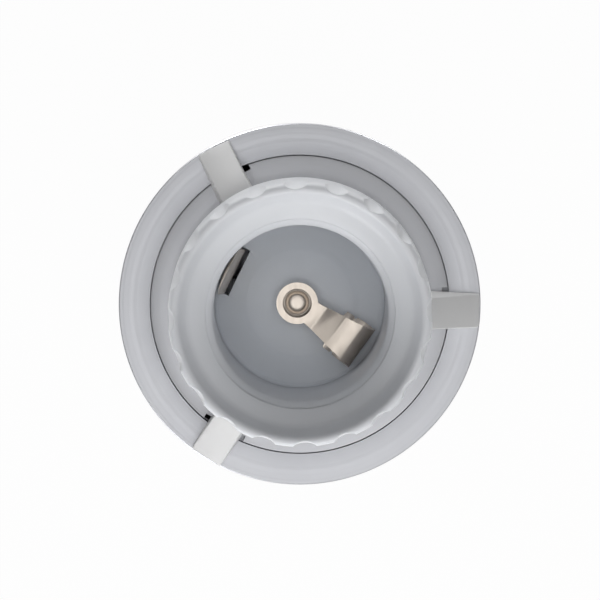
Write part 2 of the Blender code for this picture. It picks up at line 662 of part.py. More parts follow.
def contact_base():
    """Floor of the bore: a plug with a raised middle, on a flange that the barrel's end rests on."""
    profile = [
        (FLOOR_BOSS_RADIUS, FLOOR_Z),
        (FLOOR_BOSS_RADIUS + FLOOR_STEP / 2, FLOOR_Z - FLOOR_STEP),
        (BASE_PLUG_RADIUS, FLOOR_Z - FLOOR_STEP),
        (BASE_PLUG_RADIUS, BASE_FLANGE_TOP),
        (BASE_FLANGE_RADIUS, BASE_FLANGE_TOP),
        (BASE_FLANGE_RADIUS, BASE_Z),
        (RIVET_BORE, BASE_Z),
        (RIVET_BORE, FLOOR_Z),
    ]
    base = turned("contact_base", profile, FLOOR_GREY)
    half = SIDE_WIDTH / 2 + FIT
    low = (SIDE_RADIUS - SLOT_DEPTH / 2, -half, BASE_Z - FIT)
    high = (SIDE_RADIUS + SLOT_DEPTH / 2, half, FLOOR_Z + FIT)
    cut(base, block("side_slot", low, high, turn=SIDE_ANGLE))
    cut(base, pin("block_pilot", SCREW_BORE, BASE_Z - FIT, BASE_FLANGE_TOP - FIT, at=BLOCK_SCREW))
    return settle(base)


# --- contacts of the lamp -------------------------------------------------------------------------


def centre_rivet():
    """Rivet that holds the lower leaf and the lamp strap, its tail peened over under the strap."""
    head_z = FLOOR_Z + 2 * FIT + LEAF_THICKNESS
    tail_z = STRAP_Z - FIT
    head_top = head_z + RIVET_HEAD_HEIGHT
    tail_low = tail_z - RIVET_HEAD_HEIGHT
    profile = [
        (0, head_top),
        (RIVET_HEAD_RADIUS * 0.7, head_top - RIVET_HEAD_HEIGHT / 6),
        (RIVET_HEAD_RADIUS, head_z + RIVET_HEAD_HEIGHT / 3),
        (RIVET_HEAD_RADIUS, head_z),
        (RIVET_RADIUS, head_z),
        (RIVET_RADIUS, tail_z),
        (RIVET_TAIL_RADIUS, tail_z),
        (RIVET_TAIL_RADIUS * 0.8, tail_low),
        (0, tail_low),
    ]
    return settle(turned("centre_rivet", profile, NICKEL, sides=SMALL_ROUND, closed=False))


def contact_foot():
    """Lower leaf of the centre contact, with eared end and the fold up to the upper leaf."""
    low = FLOOR_Z + FIT + LEAF_THICKNESS / 2
    stations = (-FOOT_TAIL, LEAF_RING_RADIUS, FOOT_NECK, FOOT_NECK + FOOT_EAR_RUN, FOLD_DISTANCE)
    path = [(distance, low) for distance in stations]
    widths = [FOOT_WIDTH, FOOT_WIDTH, FOOT_SPREAD, FOLD_WIDTH, FOLD_WIDTH]
    steps = 8
    for i in range(1, steps + 1):
        turn = math.pi * i / steps
        path.append((FOLD_DISTANCE + FOLD_RADIUS * math.sin(turn), low + FOLD_RADIUS * (1 - math.cos(turn))))
        widths.append(FOLD_WIDTH)
    foot = strip("contact_foot", path, widths, LEAF_THICKNESS, LEAF_ANGLE, NICKEL)
    cut(foot, pin("rivet_hole", RIVET_BORE, low - LEAF_THICKNESS, low + LEAF_THICKNESS))
    return settle(foot)


def contact_leaf():
    """Upper leaf of the centre contact: a ring end over the rivet and a widening neck out to the fold."""
    neck = LEAF_NECK / 2
    open_angle = math.degrees(math.asin(neck / LEAF_RING_RADIUS))
    end = FOLD_DISTANCE - FIT
    outline = arc(LEAF_RING_RADIUS, open_angle, 360 - open_angle, 24)
    outline += [(end, -LEAF_END_WIDTH / 2), (end, LEAF_END_WIDTH / 2)]
    low = LEAF_TOP - LEAF_THICKNESS
    leaf = plate("contact_leaf", outline, low, LEAF_TOP, NICKEL)
    leaf.data.transform(Matrix.Rotation(math.radians(LEAF_ANGLE), 4, "Z"))
    cut(leaf, pin("leaf_hole", LEAF_RING_HOLE, low - FIT, LEAF_TOP + FIT))
    fold_z = LEAF_TOP - LEAF_THICKNESS / 2 - FOLD_RADIUS
    return pivot(settle(leaf), *on_circle(FOLD_DISTANCE, LEAF_ANGLE), fold_z)


def side_contact():
    """Blade that stands up through the slot beside the bore's wall, bowed towards the lamp."""
    tail = TERMINAL_TOP - LEAF_THICKNESS
    top = FACE_Z + SIDE_RISE
    path = [
        (SIDE_RADIUS, tail),
        (SIDE_RADIUS, BASE_Z),
        (SIDE_RADIUS, BASE_Z + FIT),
        (SIDE_RADIUS, FACE_Z - FIT),
        (SIDE_RADIUS - SIDE_BULGE, top - SIDE_BOW[0]),
        (SIDE_RADIUS - SIDE_BULGE, top - SIDE_BOW[1]),
        (SIDE_RADIUS + SIDE_THICKNESS / 2, top),
    ]
    widths = [SIDE_TAIL_WIDTH, SIDE_TAIL_WIDTH] + [SIDE_WIDTH] * 4 + [SIDE_WIDTH * 0.8]
    blade = settle(strip("side_contact", path, widths, SIDE_THICKNESS, SIDE_ANGLE, NICKEL))
    return pivot(blade, *on_circle(SIDE_RADIUS, SIDE_ANGLE), SIDE_PIVOT_Z)


# --- switch ---------------------------------------------------------------------------------------


def onto_axle(part):
    """Moves a piece modelled about Z, and the helpers of its Booleans, onto the switch's axle."""
    place = Matrix.Translation((AXLE_X, 0, 0))
    for step in part.modifiers:
        step.object.data.transform(place)
    part.data.transform(place)
    return part


def switch_case():
    """Open tray with the axle's hole, two ears for the long screws and the cord's hole."""
    low = (CASE_LEFT, -CASE_HALF_WIDTH, CASE_Z)
    case = block("switch_case", low, (CASE_RIGHT, CASE_HALF_WIDTH, CASE_TOP), BLACK)
    for number in range(2):
        x, y = pillar_at(number)
        side = 1 if y > 0 else -1
        root = side * (CASE_HALF_WIDTH - CASE_WALL / 2)
        half = EAR_WIDTH / 2
        end = arc(half, 0, 180 * side, 10, (x, y))
        outline = [(x + half, root)] + end + [(x - half, root)]
        join(case, plate(f"ear_{number + 1}", outline, CASE_Z, CASE_Z + EAR_THICKNESS))
        top = CASE_Z + EAR_THICKNESS + FIT
        cut(case, pin(f"ear_hole_{number + 1}", SCREW_BORE, CASE_Z - FIT, top, at=(x, y)))
    low = (CASE_LEFT + CASE_WALL, CASE_WALL - CASE_HALF_WIDTH, CASE_FLOOR_TOP)
    high = (CASE_RIGHT - CASE_WALL, CASE_HALF_WIDTH - CASE_WALL, CASE_TOP + FIT)
    cut(case, block("case_cavity", low, high))
    cut(case, pin("case_axle_hole", AXLE_BORE, CASE_Z - FIT, CASE_FLOOR_TOP + FIT, at=AXLE))
    hole = pin("case_cord_hole", CORD_HOLE, -CASE_WALL, CASE_WALL)
    upright = Matrix.Rotation(math.radians(90), 4, "X")
    hole.data.transform(Matrix.Translation((0, CASE_WALL / 2 - CASE_HALF_WIDTH, CORD_Z)) @ upright)
    cut(case, hole)
    post_at = on_circle(SPRING_LEG + SPRING_WIRE, SPRING_POST_ANGLE, AXLE)
    join(case, pin("spring_post", SPRING_WIRE * 2, CASE_FLOOR_TOP - FIT, LEVER_Z - FIT, at=post_at, sides=12))
    return settle(case)


def switch_lid():
    """Lid of the case, with slots for the fixed blades and two pads under the contact base."""
    low = (CASE_LEFT, -CASE_HALF_WIDTH, LID_Z)
    lid = block("switch_lid", low, (CASE_RIGHT, CASE_HALF_WIDTH, LID_TOP), BLACK)
    cut(lid, pin("lid_axle_hole", AXLE_BORE, LID_Z - FIT, LID_TOP + FIT, at=AXLE))
    for side in (-1, 1):
        near, far = blade_y(side)
        half = BLADE_WIDTH / 2 + FIT
        low = (AXLE_X - half, near - FIT, LID_Z - FIT)
        cut(lid, block(f"lid_slot_{side}", low, (AXLE_X + half, far + FIT, LID_TOP + FIT)))
        at = (AXLE_X + BLADE_WIDTH, side * CROSS_RADIUS * 0.7)
        join(lid, pin(f"lid_pad_{side}", SCREW_RADIUS, LID_TOP - FIT, BASE_Z - FIT, at=at))
    return settle(lid)


def switch_axle():
    """Steel pin held between the floor of the case and the lid."""
    return settle(pin("switch_axle", AXLE_RADIUS, CASE_Z + FIT, LID_TOP - FIT, STEEL, at=AXLE))


def pull_lever():
    """Lever with a boss inside the spring, the cord's eyelet, the pawl's pin and a lug for the spring."""
    eyelet = on_circle(LEVER_RADIUS, 180 - LEVER_STROKE / 2)
    pawl = on_circle(PAWL_DISTANCE, PAWL_ANGLE)
    arm = paddle((0, 0), LEVER_HUB, eyelet, EYELET_RADIUS)
    lever = plate("pull_lever", arm, LEVER_Z, LEVER_TOP, ARM_WHITE)
    join(lever, plate("pawl_lobe", paddle((0, 0), LEVER_HUB, pawl, PAWL_EYE), LEVER_Z, LEVER_TOP))
    join(lever, pin("lever_boss", LEVER_BOSS, CASE_FLOOR_TOP + FIT, LEVER_Z + FIT))
    join(lever, pin("pawl_pin", PAWL_PIN, LEVER_TOP - FIT, RATCHET_Z + PAWL_THICKNESS, at=pawl, sides=12))
    lug = on_circle(SPRING_LEG - SPRING_WIRE, SPRING_LUG_ANGLE)
    lug_z = LEVER_Z - SPRING_SPACE / 2
    join(lever, pin("spring_lug", SPRING_WIRE * 2, lug_z, LEVER_Z + FIT, at=lug, sides=12))
    cut(lever, pin("lever_bore", AXLE_BORE, CASE_FLOOR_TOP, LEVER_TOP + FIT))
    cut(lever, pin("eyelet_hole", EYELET_HOLE, LEVER_Z - FIT, LEVER_TOP + FIT, at=eyelet, sides=16))
    return pivot(settle(onto_axle(lever)), *AXLE, CORD_Z)


def return_spring():
    """Torsion spring round the lever's boss, its legs against the case's post and the lever's lug."""
    curve = bpy.data.curves.new("return_spring", "CURVE")
    curve.dimensions = "3D"
    curve.bevel_depth = SPRING_WIRE
    curve.bevel_resolution = 1
    curve.use_fill_caps = True
    low = CASE_FLOOR_TOP + FIT + SPRING_WIRE
    high = low + SPRING_TURNS * (2 * SPRING_WIRE + SPRING_GAP)
    first = SPRING_POST_ANGLE - SPRING_LEG_LEAD
    last = SPRING_LUG_ANGLE + SPRING_LEG_LEAD + 360 * SPRING_TURNS
    steps = 12 * SPRING_TURNS + 4
    points = [(*on_circle(SPRING_LEG, first, AXLE), low)]
    for i in range(steps + 1):
        share = i / steps
        place = on_circle(SPRING_COIL, first + (last - first) * share, AXLE)
        points.append((*place, low + (high - low) * share))
    points.append((*on_circle(SPRING_LEG, last, AXLE), high))
    line = curve.splines.new("POLY")
    line.points.add(len(points) - 1)
    for point, place in zip(line.points, points):
        point.co = (*place, 1)
    made = bpy.data.objects.new("return_spring", curve)
    bpy.context.scene.collection.objects.link(made)
    bpy.context.view_layer.update()
    mesh = bpy.data.meshes.new_from_object(made.evaluated_get(bpy.context.evaluated_depsgraph_get()))
    bpy.data.objects.remove(made)
    work = bmesh.new()
    work.from_mesh(mesh)
    bmesh.ops.remove_doubles(work, verts=work.verts, dist=0.001 * MM)
    return settle(add_object("return_spring", mesh_of("return_spring", work), STEEL))


def tooth_outline():
    """The ratchet's outline: each tooth rises slowly and drops steeply, and drives counter-clockwise."""
    step = 360 / RATCHET_TEETH
    outline = []
    for number in range(RATCHET_TEETH):
        start = PAWL_ANGLE + PAWL_LEAD + number * step
        for share in (0.0, 0.25, 0.5, 0.75, 1.0):
            radius = RATCHET_RADIUS - TOOTH_DEPTH * share
            outline.append(on_circle(radius, start + (step - 2) * share))
    return outline


def ratchet_rotor():
    """Ratchet wheel with the hub that carries the contact cross."""
    rotor = plate("ratchet_rotor", tooth_outline(), RATCHET_Z, RATCHET_TOP, ARM_WHITE)
    join(rotor, pin("rotor_hub", ROTOR_HUB, RATCHET_Z + FIT, CROSS_Z - FIT))
    join(rotor, pin("rotor_neck", ROTOR_HUB - 2 * FIT, CROSS_Z - 2 * FIT, ROTOR_TOP_Z - FIT))
    cut(rotor, pin("rotor_bore", AXLE_BORE, RATCHET_Z - FIT, ROTOR_TOP_Z + FIT))
    return pivot(settle(onto_axle(rotor)), *AXLE, RATCHET_Z + RATCHET_THICKNESS / 2)


def contact_cross():
    """Four-armed contact that bridges the fixed blades at every second pull."""
    half = CROSS_ARM / 2
    reach = CROSS_RADIUS
    quarter = [(reach, -half), (reach, half), (half, half)]
    outline = []
    for turn in range(4):
        matrix = Matrix.Rotation(math.radians(90 * turn), 2)
        outline += [tuple(matrix @ Vector(point)) for point in quarter]
    cross = plate("contact_cross", outline, CROSS_Z, CROSS_TOP, BRONZE)
    join(cross, pin("cross_hub", ROTOR_HUB + 3 * FIT, CROSS_Z, CROSS_TOP))
    cut(cross, pin("cross_bore", ROTOR_HUB - FIT, CROSS_Z - FIT, CROSS_TOP + FIT))
    return pivot(settle(onto_axle(cross)), *AXLE, CROSS_Z)


def pawl():
    """Finger on the lever's pin whose nose pushes a ratchet tooth."""
    eye = on_circle(PAWL_DISTANCE, PAWL_ANGLE)
    tooth = PAWL_ANGLE + PAWL_LEAD
    root = RATCHET_RADIUS + PAWL_PIN
    tip_angle, front_angle, back_angle = (tooth + angle for angle in NOSE_ANGLES)
    body = paddle(eye, PAWL_EYE, on_circle(root, (front_angle + back_angle) / 2), PAWL_PIN)
    top = RATCHET_Z + PAWL_THICKNESS
    finger = plate("pawl", body, RATCHET_Z, top, BRASS)
    tip = on_circle(RATCHET_RADIUS - TOOTH_DEPTH + 1.4 * FIT, tip_angle)
    nose = [tip, on_circle(root, front_angle), on_circle(root, back_angle)]
    join(finger, plate("pawl_nose", nose, RATCHET_Z, top))
    cut(finger, pin("pawl_hole", PAWL_HOLE, RATCHET_Z - FIT, top + FIT, at=eye, sides=16))
    at = on_circle(PAWL_DISTANCE, PAWL_ANGLE, AXLE)
    return pivot(settle(onto_axle(finger)), *at, RATCHET_Z + PAWL_THICKNESS / 2)


# --- straps, terminals and fasteners --------------------------------------------------------------


def blade_y(side):
    """The two faces, in Y, of the fixed blade on one side of the contact cross."""
    near = CROSS_RADIUS + 2 * FIT
    return sorted((side * near, side * (near + STRAP_THICKNESS)))


def fixed_blade(name, side, finish=None):
    """Upright blade beside the contact cross, up to the strap above the lid."""
    low_y, high_y = blade_y(side)
    half = BLADE_WIDTH / 2
    low = (AXLE_X - half, low_y, CROSS_Z - BLADE_DIP)
    return block(name, low, (AXLE_X + half, high_y, STRAP_TOP), finish)


def line_strap():
    """Brass strap from the line terminal over the lid to the first fixed blade."""
    strap = fixed_blade("line_strap", -1, BRASS)
    low_y, high_y = blade_y(-1)
    leg_x = TERMINAL_X + TERMINAL_SIZE[0] / 2 + FIT
    half = BLADE_WIDTH / 2
    low = (leg_x, low_y - half, STRAP_Z)
    join(strap, block("line_run", low, (AXLE_X + half, high_y, STRAP_TOP)))
    low = (leg_x, low_y - half, TERMINAL_TOP - BLADE_WIDTH)
    join(strap, block("line_leg", low, (leg_x + STRAP_THICKNESS, high_y, STRAP_TOP)))
    return settle(strap)


def lamp_strap():
    """Brass strap from the second fixed blade to the rivet of the centre contact."""
    strap = fixed_blade("lamp_strap", 1, BRASS)
    low_y, high_y = blade_y(1)
    half = BLADE_WIDTH / 2
    eye = RIVET_TAIL_RADIUS + FIT
    outline = [
        (AXLE_X + half, high_y),
        (AXLE_X - half, high_y),
        on_circle(eye, 135),
        on_circle(eye, 180),
        on_circle(eye, 225),
        on_circle(eye, 270),
        on_circle(eye, 315),
        (AXLE_X + half, low_y - half),
    ]
    join(strap, plate("lamp_run", outline, STRAP_Z, STRAP_TOP))
    cut(strap, pin("lamp_run_hole", RIVET_BORE, STRAP_Z - FIT, STRAP_TOP + FIT))
    return settle(strap)


def terminal_block():
    """Moulding with two pockets for the terminals, open above, and holes for screws and wires."""
    low = (BLOCK_LEFT, -BLOCK_HALF_WIDTH, BLOCK_Z)
    moulding = block("terminal_block", low, (BLOCK_RIGHT, BLOCK_HALF_WIDTH, BLOCK_TOP), WHITE)
    size_x, size_y, _ = TERMINAL_SIZE
    for side in (-1, 1):
        middle = side * TERMINAL_Y
        near, far = middle - size_y / 2 - FIT, middle + size_y / 2 + FIT
        low = (TERMINAL_X - size_x / 2 - FIT, near, BLOCK_Z + BLOCK_FLOOR)
        high = (SIDE_POCKET_X, far, BLOCK_TOP + FIT)
        cut(moulding, block(f"terminal_pocket_{side}", low, high))
        top = BLOCK_Z + BLOCK_FLOOR + FIT
        cut(moulding, pin(f"driver_hole_{side}", SCREW_HEAD, BLOCK_Z - FIT, top, at=(TERMINAL_X, middle)))
        wall = BLOCK_HALF_WIDTH - TERMINAL_Y
        hole = pin(f"wire_hole_{side}", WIRE_HOLE + FIT, 0, wall)
        upright = Matrix.Rotation(math.radians(-90 * side), 4, "X")
        place = (TERMINAL_X, side * (TERMINAL_Y + FIT), TERMINAL_Z + TERMINAL_SIZE[2] / 2)
        hole.data.transform(Matrix.Translation(place) @ upright)
        cut(moulding, hole)
    cut(moulding, pin("block_screw_hole", SCREW_BORE, BLOCK_Z - FIT, BLOCK_TOP + FIT, at=BLOCK_SCREW))
    return settle(moulding)


def terminal(name, side):
    """Brass block with a cross hole for the wire and a hole from below for its screw."""
    half_x, half_y = TERMINAL_SIZE[0] / 2, TERMINAL_SIZE[1] / 2
    y = side * TERMINAL_Y
    low = (TERMINAL_X - half_x, y - half_y, TERMINAL_Z)
    body = block(name, low, (TERMINAL_X + half_x, y + half_y, TERMINAL_TOP), BRASS)
    middle_z = (TERMINAL_Z + TERMINAL_TOP) / 2
    across = pin(f"{name}_wire_hole", WIRE_HOLE, -half_y - FIT, half_y + FIT)
    upright = Matrix.Rotation(math.radians(90), 4, "X")
    across.data.transform(Matrix.Translation((TERMINAL_X, y, middle_z)) @ upright)
    cut(body, across)
    cut(body, pin(f"{name}_thread", SCREW_BORE, TERMINAL_Z - FIT, middle_z, at=(TERMINAL_X, y)))
    return settle(body)


def terminals():
    """The two terminals and their screws."""
    for name, side in (("line_terminal", -1), ("neutral_terminal", 1)):
        terminal(name, side)
        at = (TERMINAL_X, side * TERMINAL_Y)
        tip = TERMINAL_Z + TERMINAL_SIZE[2] / 2 - WIRE_HOLE - FIT
        head = TERMINAL_Z - FIT - SCREW_HEAD_HEIGHT
        slotted_screw(f"{name}_screw", at, head, tip, head=SCREW_HEAD - 2 * FIT)


def long_screws():
    """The two screws that clamp case, lid and contact base to the barrel, and the block's own screw."""
    under = CASE_Z - FIT
    for number in range(2):
        head = under - SCREW_HEAD_HEIGHT
        slotted_screw(f"case_screw_{number + 1}", pillar_at(number), head, BASE_Z - FIT)
    head = BLOCK_Z - FIT - SCREW_HEAD_HEIGHT
    slotted_screw("block_screw", BLOCK_SCREW, head, BASE_FLANGE_TOP - 3 * FIT)


def earth_fastening():
    """Earth screw in the rear wall, with the washer that holds the earth wire."""
    washer_z = REAR_WALL + FIT
    washer_top = washer_z + WASHER_THICKNESS
    profile = [
        (WASHER_RADIUS, washer_top),
        (WASHER_RADIUS, washer_z),
        (SCREW_BORE, washer_z),
        (SCREW_BORE, washer_top),
    ]
    washer = turned("earth_washer", profile, BRASS, sides=SMALL_ROUND)
    settle(washer)
    at = on_circle(EARTH_DISTANCE, EARTH_ANGLE)
    washer.data.transform(Matrix.Translation((*at, 0)))
    head = washer_top + FIT + SCREW_HEAD_HEIGHT
    slotted_screw("earth_screw", at, head, FIT)


def entry_bush():
    """Bush for the supply's nipple, flanged inside the rear wall, with a hole for its locking screw."""
    flange = ENTRY_RADIUS + ENTRY_FLANGE
    seat = REAR_WALL + FIT
    profile = [
        (ENTRY_RADIUS, seat + ENTRY_HEIGHT - ENTRY_FLANGE_THICKNESS),
        (ENTRY_RADIUS, seat + ENTRY_FLANGE_THICKNESS),
        (flange, seat + ENTRY_FLANGE_THICKNESS),
        (flange, seat),
        (ENTRY_RADIUS, seat),
        (ENTRY_RADIUS, FIT),
        (ENTRY_BORE, FIT),
        (ENTRY_BORE, seat + ENTRY_HEIGHT - ENTRY_FLANGE_THICKNESS),
    ]
    bush = turned("entry_bush", profile, BRASS, sides=32)
    z = grub_z()
    hole = pin("grub_hole", GRUB_RADIUS + FIT, ENTRY_BORE - CUT_MARGIN, ENTRY_RADIUS + CUT_MARGIN)
    hole.data.transform(Matrix.Translation((0, 0, z)) @ Matrix.Rotation(math.radians(-90), 4, "Y"))
    cut(bush, hole)
    return settle(bush)


def grub_z():
    """Height of the locking screw in the entry bush."""
    return REAR_WALL + FIT + ENTRY_FLANGE_THICKNESS + GRUB_RADIUS + 2 * FIT


def entry_grub_screw():
    """Locking screw, radial in the entry bush, with a driver slot at its outer end."""
    start = -ENTRY_BORE - GRUB_LENGTH
    body = pin("entry_grub_screw", GRUB_RADIUS, start, -ENTRY_BORE - FIT, STEEL)
    low = (-SCREW_SLOT / 2, -GRUB_RADIUS - FIT, start - FIT)
    cut(body, block("grub_slot", low, (SCREW_SLOT / 2, GRUB_RADIUS + FIT, start + SCREW_SLOT)))
    settle(body)
    body.data.transform(Matrix.Translation((0, 0, grub_z())) @ Matrix.Rotation(math.radians(90), 4, "Y"))
    return body


def cord_bush():
    """Bell-mouthed bush through the cup's side wall, modelled about Z and laid along -Y."""
    head_z = CUP_RADIUS + FIT
    face = head_z + CORD_BUSH_HEAD_THICKNESS
    tail = CUP_BORE - CORD_BUSH_TAIL
    profile = [
        (CORD_MOUTH, face),
        (CORD_BUSH_HEAD - FIT, face),
        (CORD_BUSH_HEAD, face - FIT),
        (CORD_BUSH_HEAD, head_z),
        (CORD_BUSH_RADIUS, head_z),
        (CORD_BUSH_RADIUS, tail),
        (CORD_HOLE + FIT, tail),
        (CORD_HOLE, tail + FIT),
        (CORD_HOLE, head_z - FIT),
        (CORD_HOLE + FIT, head_z + CORD_BUSH_HEAD_THICKNESS / 2),
    ]
    bush = turned("cord_bush", profile, WHITE, sides=24)
    settle(bush)
    lay_along_cord(bush)
    return bush


def lay_along_cord(part):
    """Turns a piece modelled about Z so that its top looks along -Y, at the height of the cord."""
    turn = Matrix.Rotation(math.radians(90), 4, "X")
    part.data.transform(Matrix.Translation((0, 0, CORD_Z)) @ turn)


def bush_nut():
    """Hexagon nut that holds the cord's bush from inside the cup."""
    top = math.sqrt(CUP_BORE ** 2 - NUT_RADIUS ** 2) - FIT
    nut = plate("bush_nut", arc(NUT_RADIUS, 0, 300, 5), top - NUT_THICKNESS, top, STEEL)
    cut(nut, pin("nut_hole", CORD_BUSH_RADIUS + FIT, top - NUT_THICKNESS - FIT, top + FIT))
    settle(nut)
    lay_along_cord(nut)
    return nut


def main():
    """Builds every piece, from the cup inwards."""
    clear_scene()
    housing_cup()
    cover_plate()
    clamp_spider()
    grip_ring()
    lamp_barrel()
    contact_base()
    centre_rivet()
    contact_foot()
    contact_leaf()
    side_contact()
    switch_case()
    switch_lid()
    switch_axle()
    pull_lever()
    return_spring()
    pawl()
    ratchet_rotor()
    contact_cross()
    line_strap()
    lamp_strap()
    terminal_block()
    terminals()
    long_screws()
    earth_fastening()
    entry_bush()
    entry_grub_screw()
    cord_bush()
    bush_nut()


main()
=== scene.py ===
"""Looks of an Edison-screw lampholder with a pull-cord switch, seen into its mouth.

The lamp axis is Z and the cup's flat rear face lies on z = 0. Each class models one sub-assembly
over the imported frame, in metres, and dresses it with the finish that the real piece has.
"""

import logging
import math
from collections.abc import Callable, Sequence
from dataclasses import dataclass
from enum import Enum

import bpy
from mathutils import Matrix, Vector


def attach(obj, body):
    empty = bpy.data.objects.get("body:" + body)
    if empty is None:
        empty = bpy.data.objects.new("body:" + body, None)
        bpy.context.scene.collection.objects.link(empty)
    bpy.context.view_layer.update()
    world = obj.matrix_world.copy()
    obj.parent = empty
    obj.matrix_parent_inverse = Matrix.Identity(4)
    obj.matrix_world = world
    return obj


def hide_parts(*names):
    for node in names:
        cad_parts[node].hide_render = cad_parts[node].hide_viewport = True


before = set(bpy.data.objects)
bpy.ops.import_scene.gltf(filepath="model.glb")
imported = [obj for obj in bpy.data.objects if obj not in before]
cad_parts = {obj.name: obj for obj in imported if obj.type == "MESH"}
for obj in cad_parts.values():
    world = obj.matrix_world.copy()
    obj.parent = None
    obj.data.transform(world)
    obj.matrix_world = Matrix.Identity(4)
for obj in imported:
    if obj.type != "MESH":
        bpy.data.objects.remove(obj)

MM = 0.001
FIT = 0.3 * MM  # between pieces that touch
WELD = 0.002 * MM  # corners closer than this become one
ROUND = 192  # sides of a large turned piece
BEND = 8  # steps of a small round
FACE_Z = 37.7 * MM  # the cup's face
RIM_Z = 64.7 * MM  # top of the grip ring
CORD_Z = 15.4 * MM  # height of the pull cord
ARM_ANGLES = (120.3, -2.0, 239.4)  # degrees
SIDE_ANGLE = 154.0  # direction of the side contact, in degrees
RIVET_AT = (-0.38 * MM, 0.12 * MM)  # the contact rivet's axis, off the lamp axis
SCREW_HOLE = 1.55 * MM  # radius of a screw's hole
SENSOR = 36.0  # width of the camera's sensor, in its own unit
CLOUD_SCALE = 90.0  # clouds of about 11 mm
CLOUD_RANGE = (0.45, 0.75)  # share of the noise that shows as clouds
GRAIN_RANGE = (0.3, 0.7)  # share of the noise that changes the roughness

Point = tuple[float, float]
Place = tuple[float, float, float]
Test = Callable[[Vector, Vector], bool]
Body = bpy.types.Object
Tree = bpy.types.NodeTree
Socket = bpy.types.NodeSocket

log = logging.getLogger("lampholder")


def mm(*sizes: float) -> tuple[float, ...]:
    """Turns millimetres into metres."""
    return tuple(size * MM for size in sizes)


def table(*rows: Sequence[float]) -> tuple[tuple[float, ...], ...]:
    """Turns rows of millimetres into metres."""
    return tuple(mm(*row) for row in rows)


def stepped(at: Point, rows: Sequence[Point]) -> list[Point]:
    """Returns the points of a profile that are given as steps from one point."""
    return [(at[0] + out, at[1] + up) for out, up in rows]


class Pick(Enum):
    """What an edit works on, as Blender's select mode."""

    VERTS = (True, False, False)
    FACES = (False, False, True)


class Grain(Enum):
    """The pattern that a maker's process leaves on a surface."""

    TURNED = "rings round the lamp axis"
    MOULDED = "fine skin of a spark-eroded mould"
    ROLLED = "lines along a rolled strip"
    PLATED = "cloudy plating over a pressed or cut blank"


# --- finishes ---


def linear(colour: str) -> tuple[float, float, float, float]:
    """Turns an sRGB hex colour into linear RGBA.

    Args:
        colour: Six hex digits.

    Returns:
        Linear red, green, blue and an alpha of 1.
    """
    parts = [int(colour[i : i + 2], 16) / 255 for i in (0, 2, 4)]
    red, green, blue = (c / 12.92 if c <= 0.04045 else ((c + 0.055) / 1.055) ** 2.4 for c in parts)
    return (red, green, blue, 1.0)


def add_node(
    tree: Tree, kind: str, inputs: dict | None = None, out: int | str = 0, **own: object
) -> Socket | None:
    """Adds a shader node with its settings and links.

    Args:
        tree: The node tree.
        kind: The node's type, without its first two words.
        inputs: For each input, by name or number, a value, or the socket that feeds it.
        out: Name or number of the output that is wanted.
        own: The node's own properties.

    Returns:
        That output, where the node has outputs.
    """
    node = tree.nodes.new(f"ShaderNode{kind}")
    for key, value in own.items():
        setattr(node, key, value)
    for key, value in (inputs or {}).items():
        if isinstance(value, Socket):
            tree.links.new(value, node.inputs[key])
        else:
            node.inputs[key].default_value = value
    return node.outputs[out] if node.outputs else None


@dataclass(frozen=True)
class Finish:
    """A material: what it is, its colours and the size of its grain.

    Attributes:
        name: The material's name.
        slot: The record's material slot; not used.
        colour: Main colour, sRGB hex.
        shade: Colour of its darker clouds, sRGB hex.
        roughness: Mean roughness.
        grain: The pattern that its making leaves.
        pitch: Size of that pattern.
        relief: Its height.
        metallic: 1 for bare metal.
        spread: How far the roughness varies to each side.
        clouds: How strongly the darker clouds show.
    """

    name: str
    slot: str
    colour: str
    shade: str
    roughness: float
    grain: Grain = Grain.MOULDED
    pitch: float = 0.5 * MM
    relief: float = 0.008 * MM
    metallic: float = 0.0
    spread: float = 0.05
    clouds: float = 0.5

    def make(self) -> bpy.types.Material:
        """Builds the material once and returns it."""
        made = bpy.data.materials.get(self.name)
        if made:
            return made
        made = bpy.data.materials.new(self.name)
        made.use_nodes = True
        tree = made.node_tree
        shader = tree.nodes["Principled BSDF"]
        shader.inputs["Metallic"].default_value = self.metallic
        place = add_node(tree, "TexCoord", out="Object")
        grain = self.grain_of(tree, place)
        cloud = add_node(tree, "TexNoise", {"Vector": place, "Scale": CLOUD_SCALE, "Detail": 3.0})
        low, high = CLOUD_RANGE
        share = add_node(tree, "MapRange", {"Value": cloud, 1: low, 2: high, 4: self.clouds})
        mixed = {"Factor": share, 6: linear(self.colour), 7: linear(self.shade)}
        colour = add_node(tree, "Mix", mixed, out=2, data_type="RGBA")
        low, high = GRAIN_RANGE
        smooth, rough = self.roughness - self.spread, self.roughness + self.spread
        dull = add_node(tree, "MapRange", {"Value": grain, 1: low, 2: high, 3: smooth, 4: rough})
        bump = add_node(tree, "Bump", {"Height": grain, "Strength": 1.0, "Distance": self.relief})
        for socket, value in (("Base Color", colour), ("Roughness", dull), ("Normal", bump)):
            tree.links.new(value, shader.inputs[socket])
        return made

    def grain_of(self, tree: Tree, place: Socket) -> Socket:
        """Lays out the grain.

        Args:
            tree: The material's node tree.
            place: Object coordinates.

        Returns:
            The grain's height, about 0 to 1.
        """
        if self.grain is Grain.TURNED:
            flat = add_node(tree, "VectorMath", {0: place, 1: (1, 1, 0)}, operation="MULTIPLY")
            radius = add_node(tree, "VectorMath", {0: flat}, out="Value", operation="LENGTH")
            height = add_node(tree, "SeparateXYZ", {0: place}, out="Z")
            place = add_node(tree, "CombineXYZ", {"X": radius, "Y": height})
        elif self.grain is Grain.ROLLED:
            along = (1, 0.12, 0.12)
            place = add_node(tree, "VectorMath", {0: place, 1: along}, operation="MULTIPLY")
        detail = 1.0 if self.grain is Grain.TURNED else 4.0
        inputs = {"Vector": place, "Scale": 1 / self.pitch, "Detail": detail}
        return add_node(tree, "TexNoise", inputs)


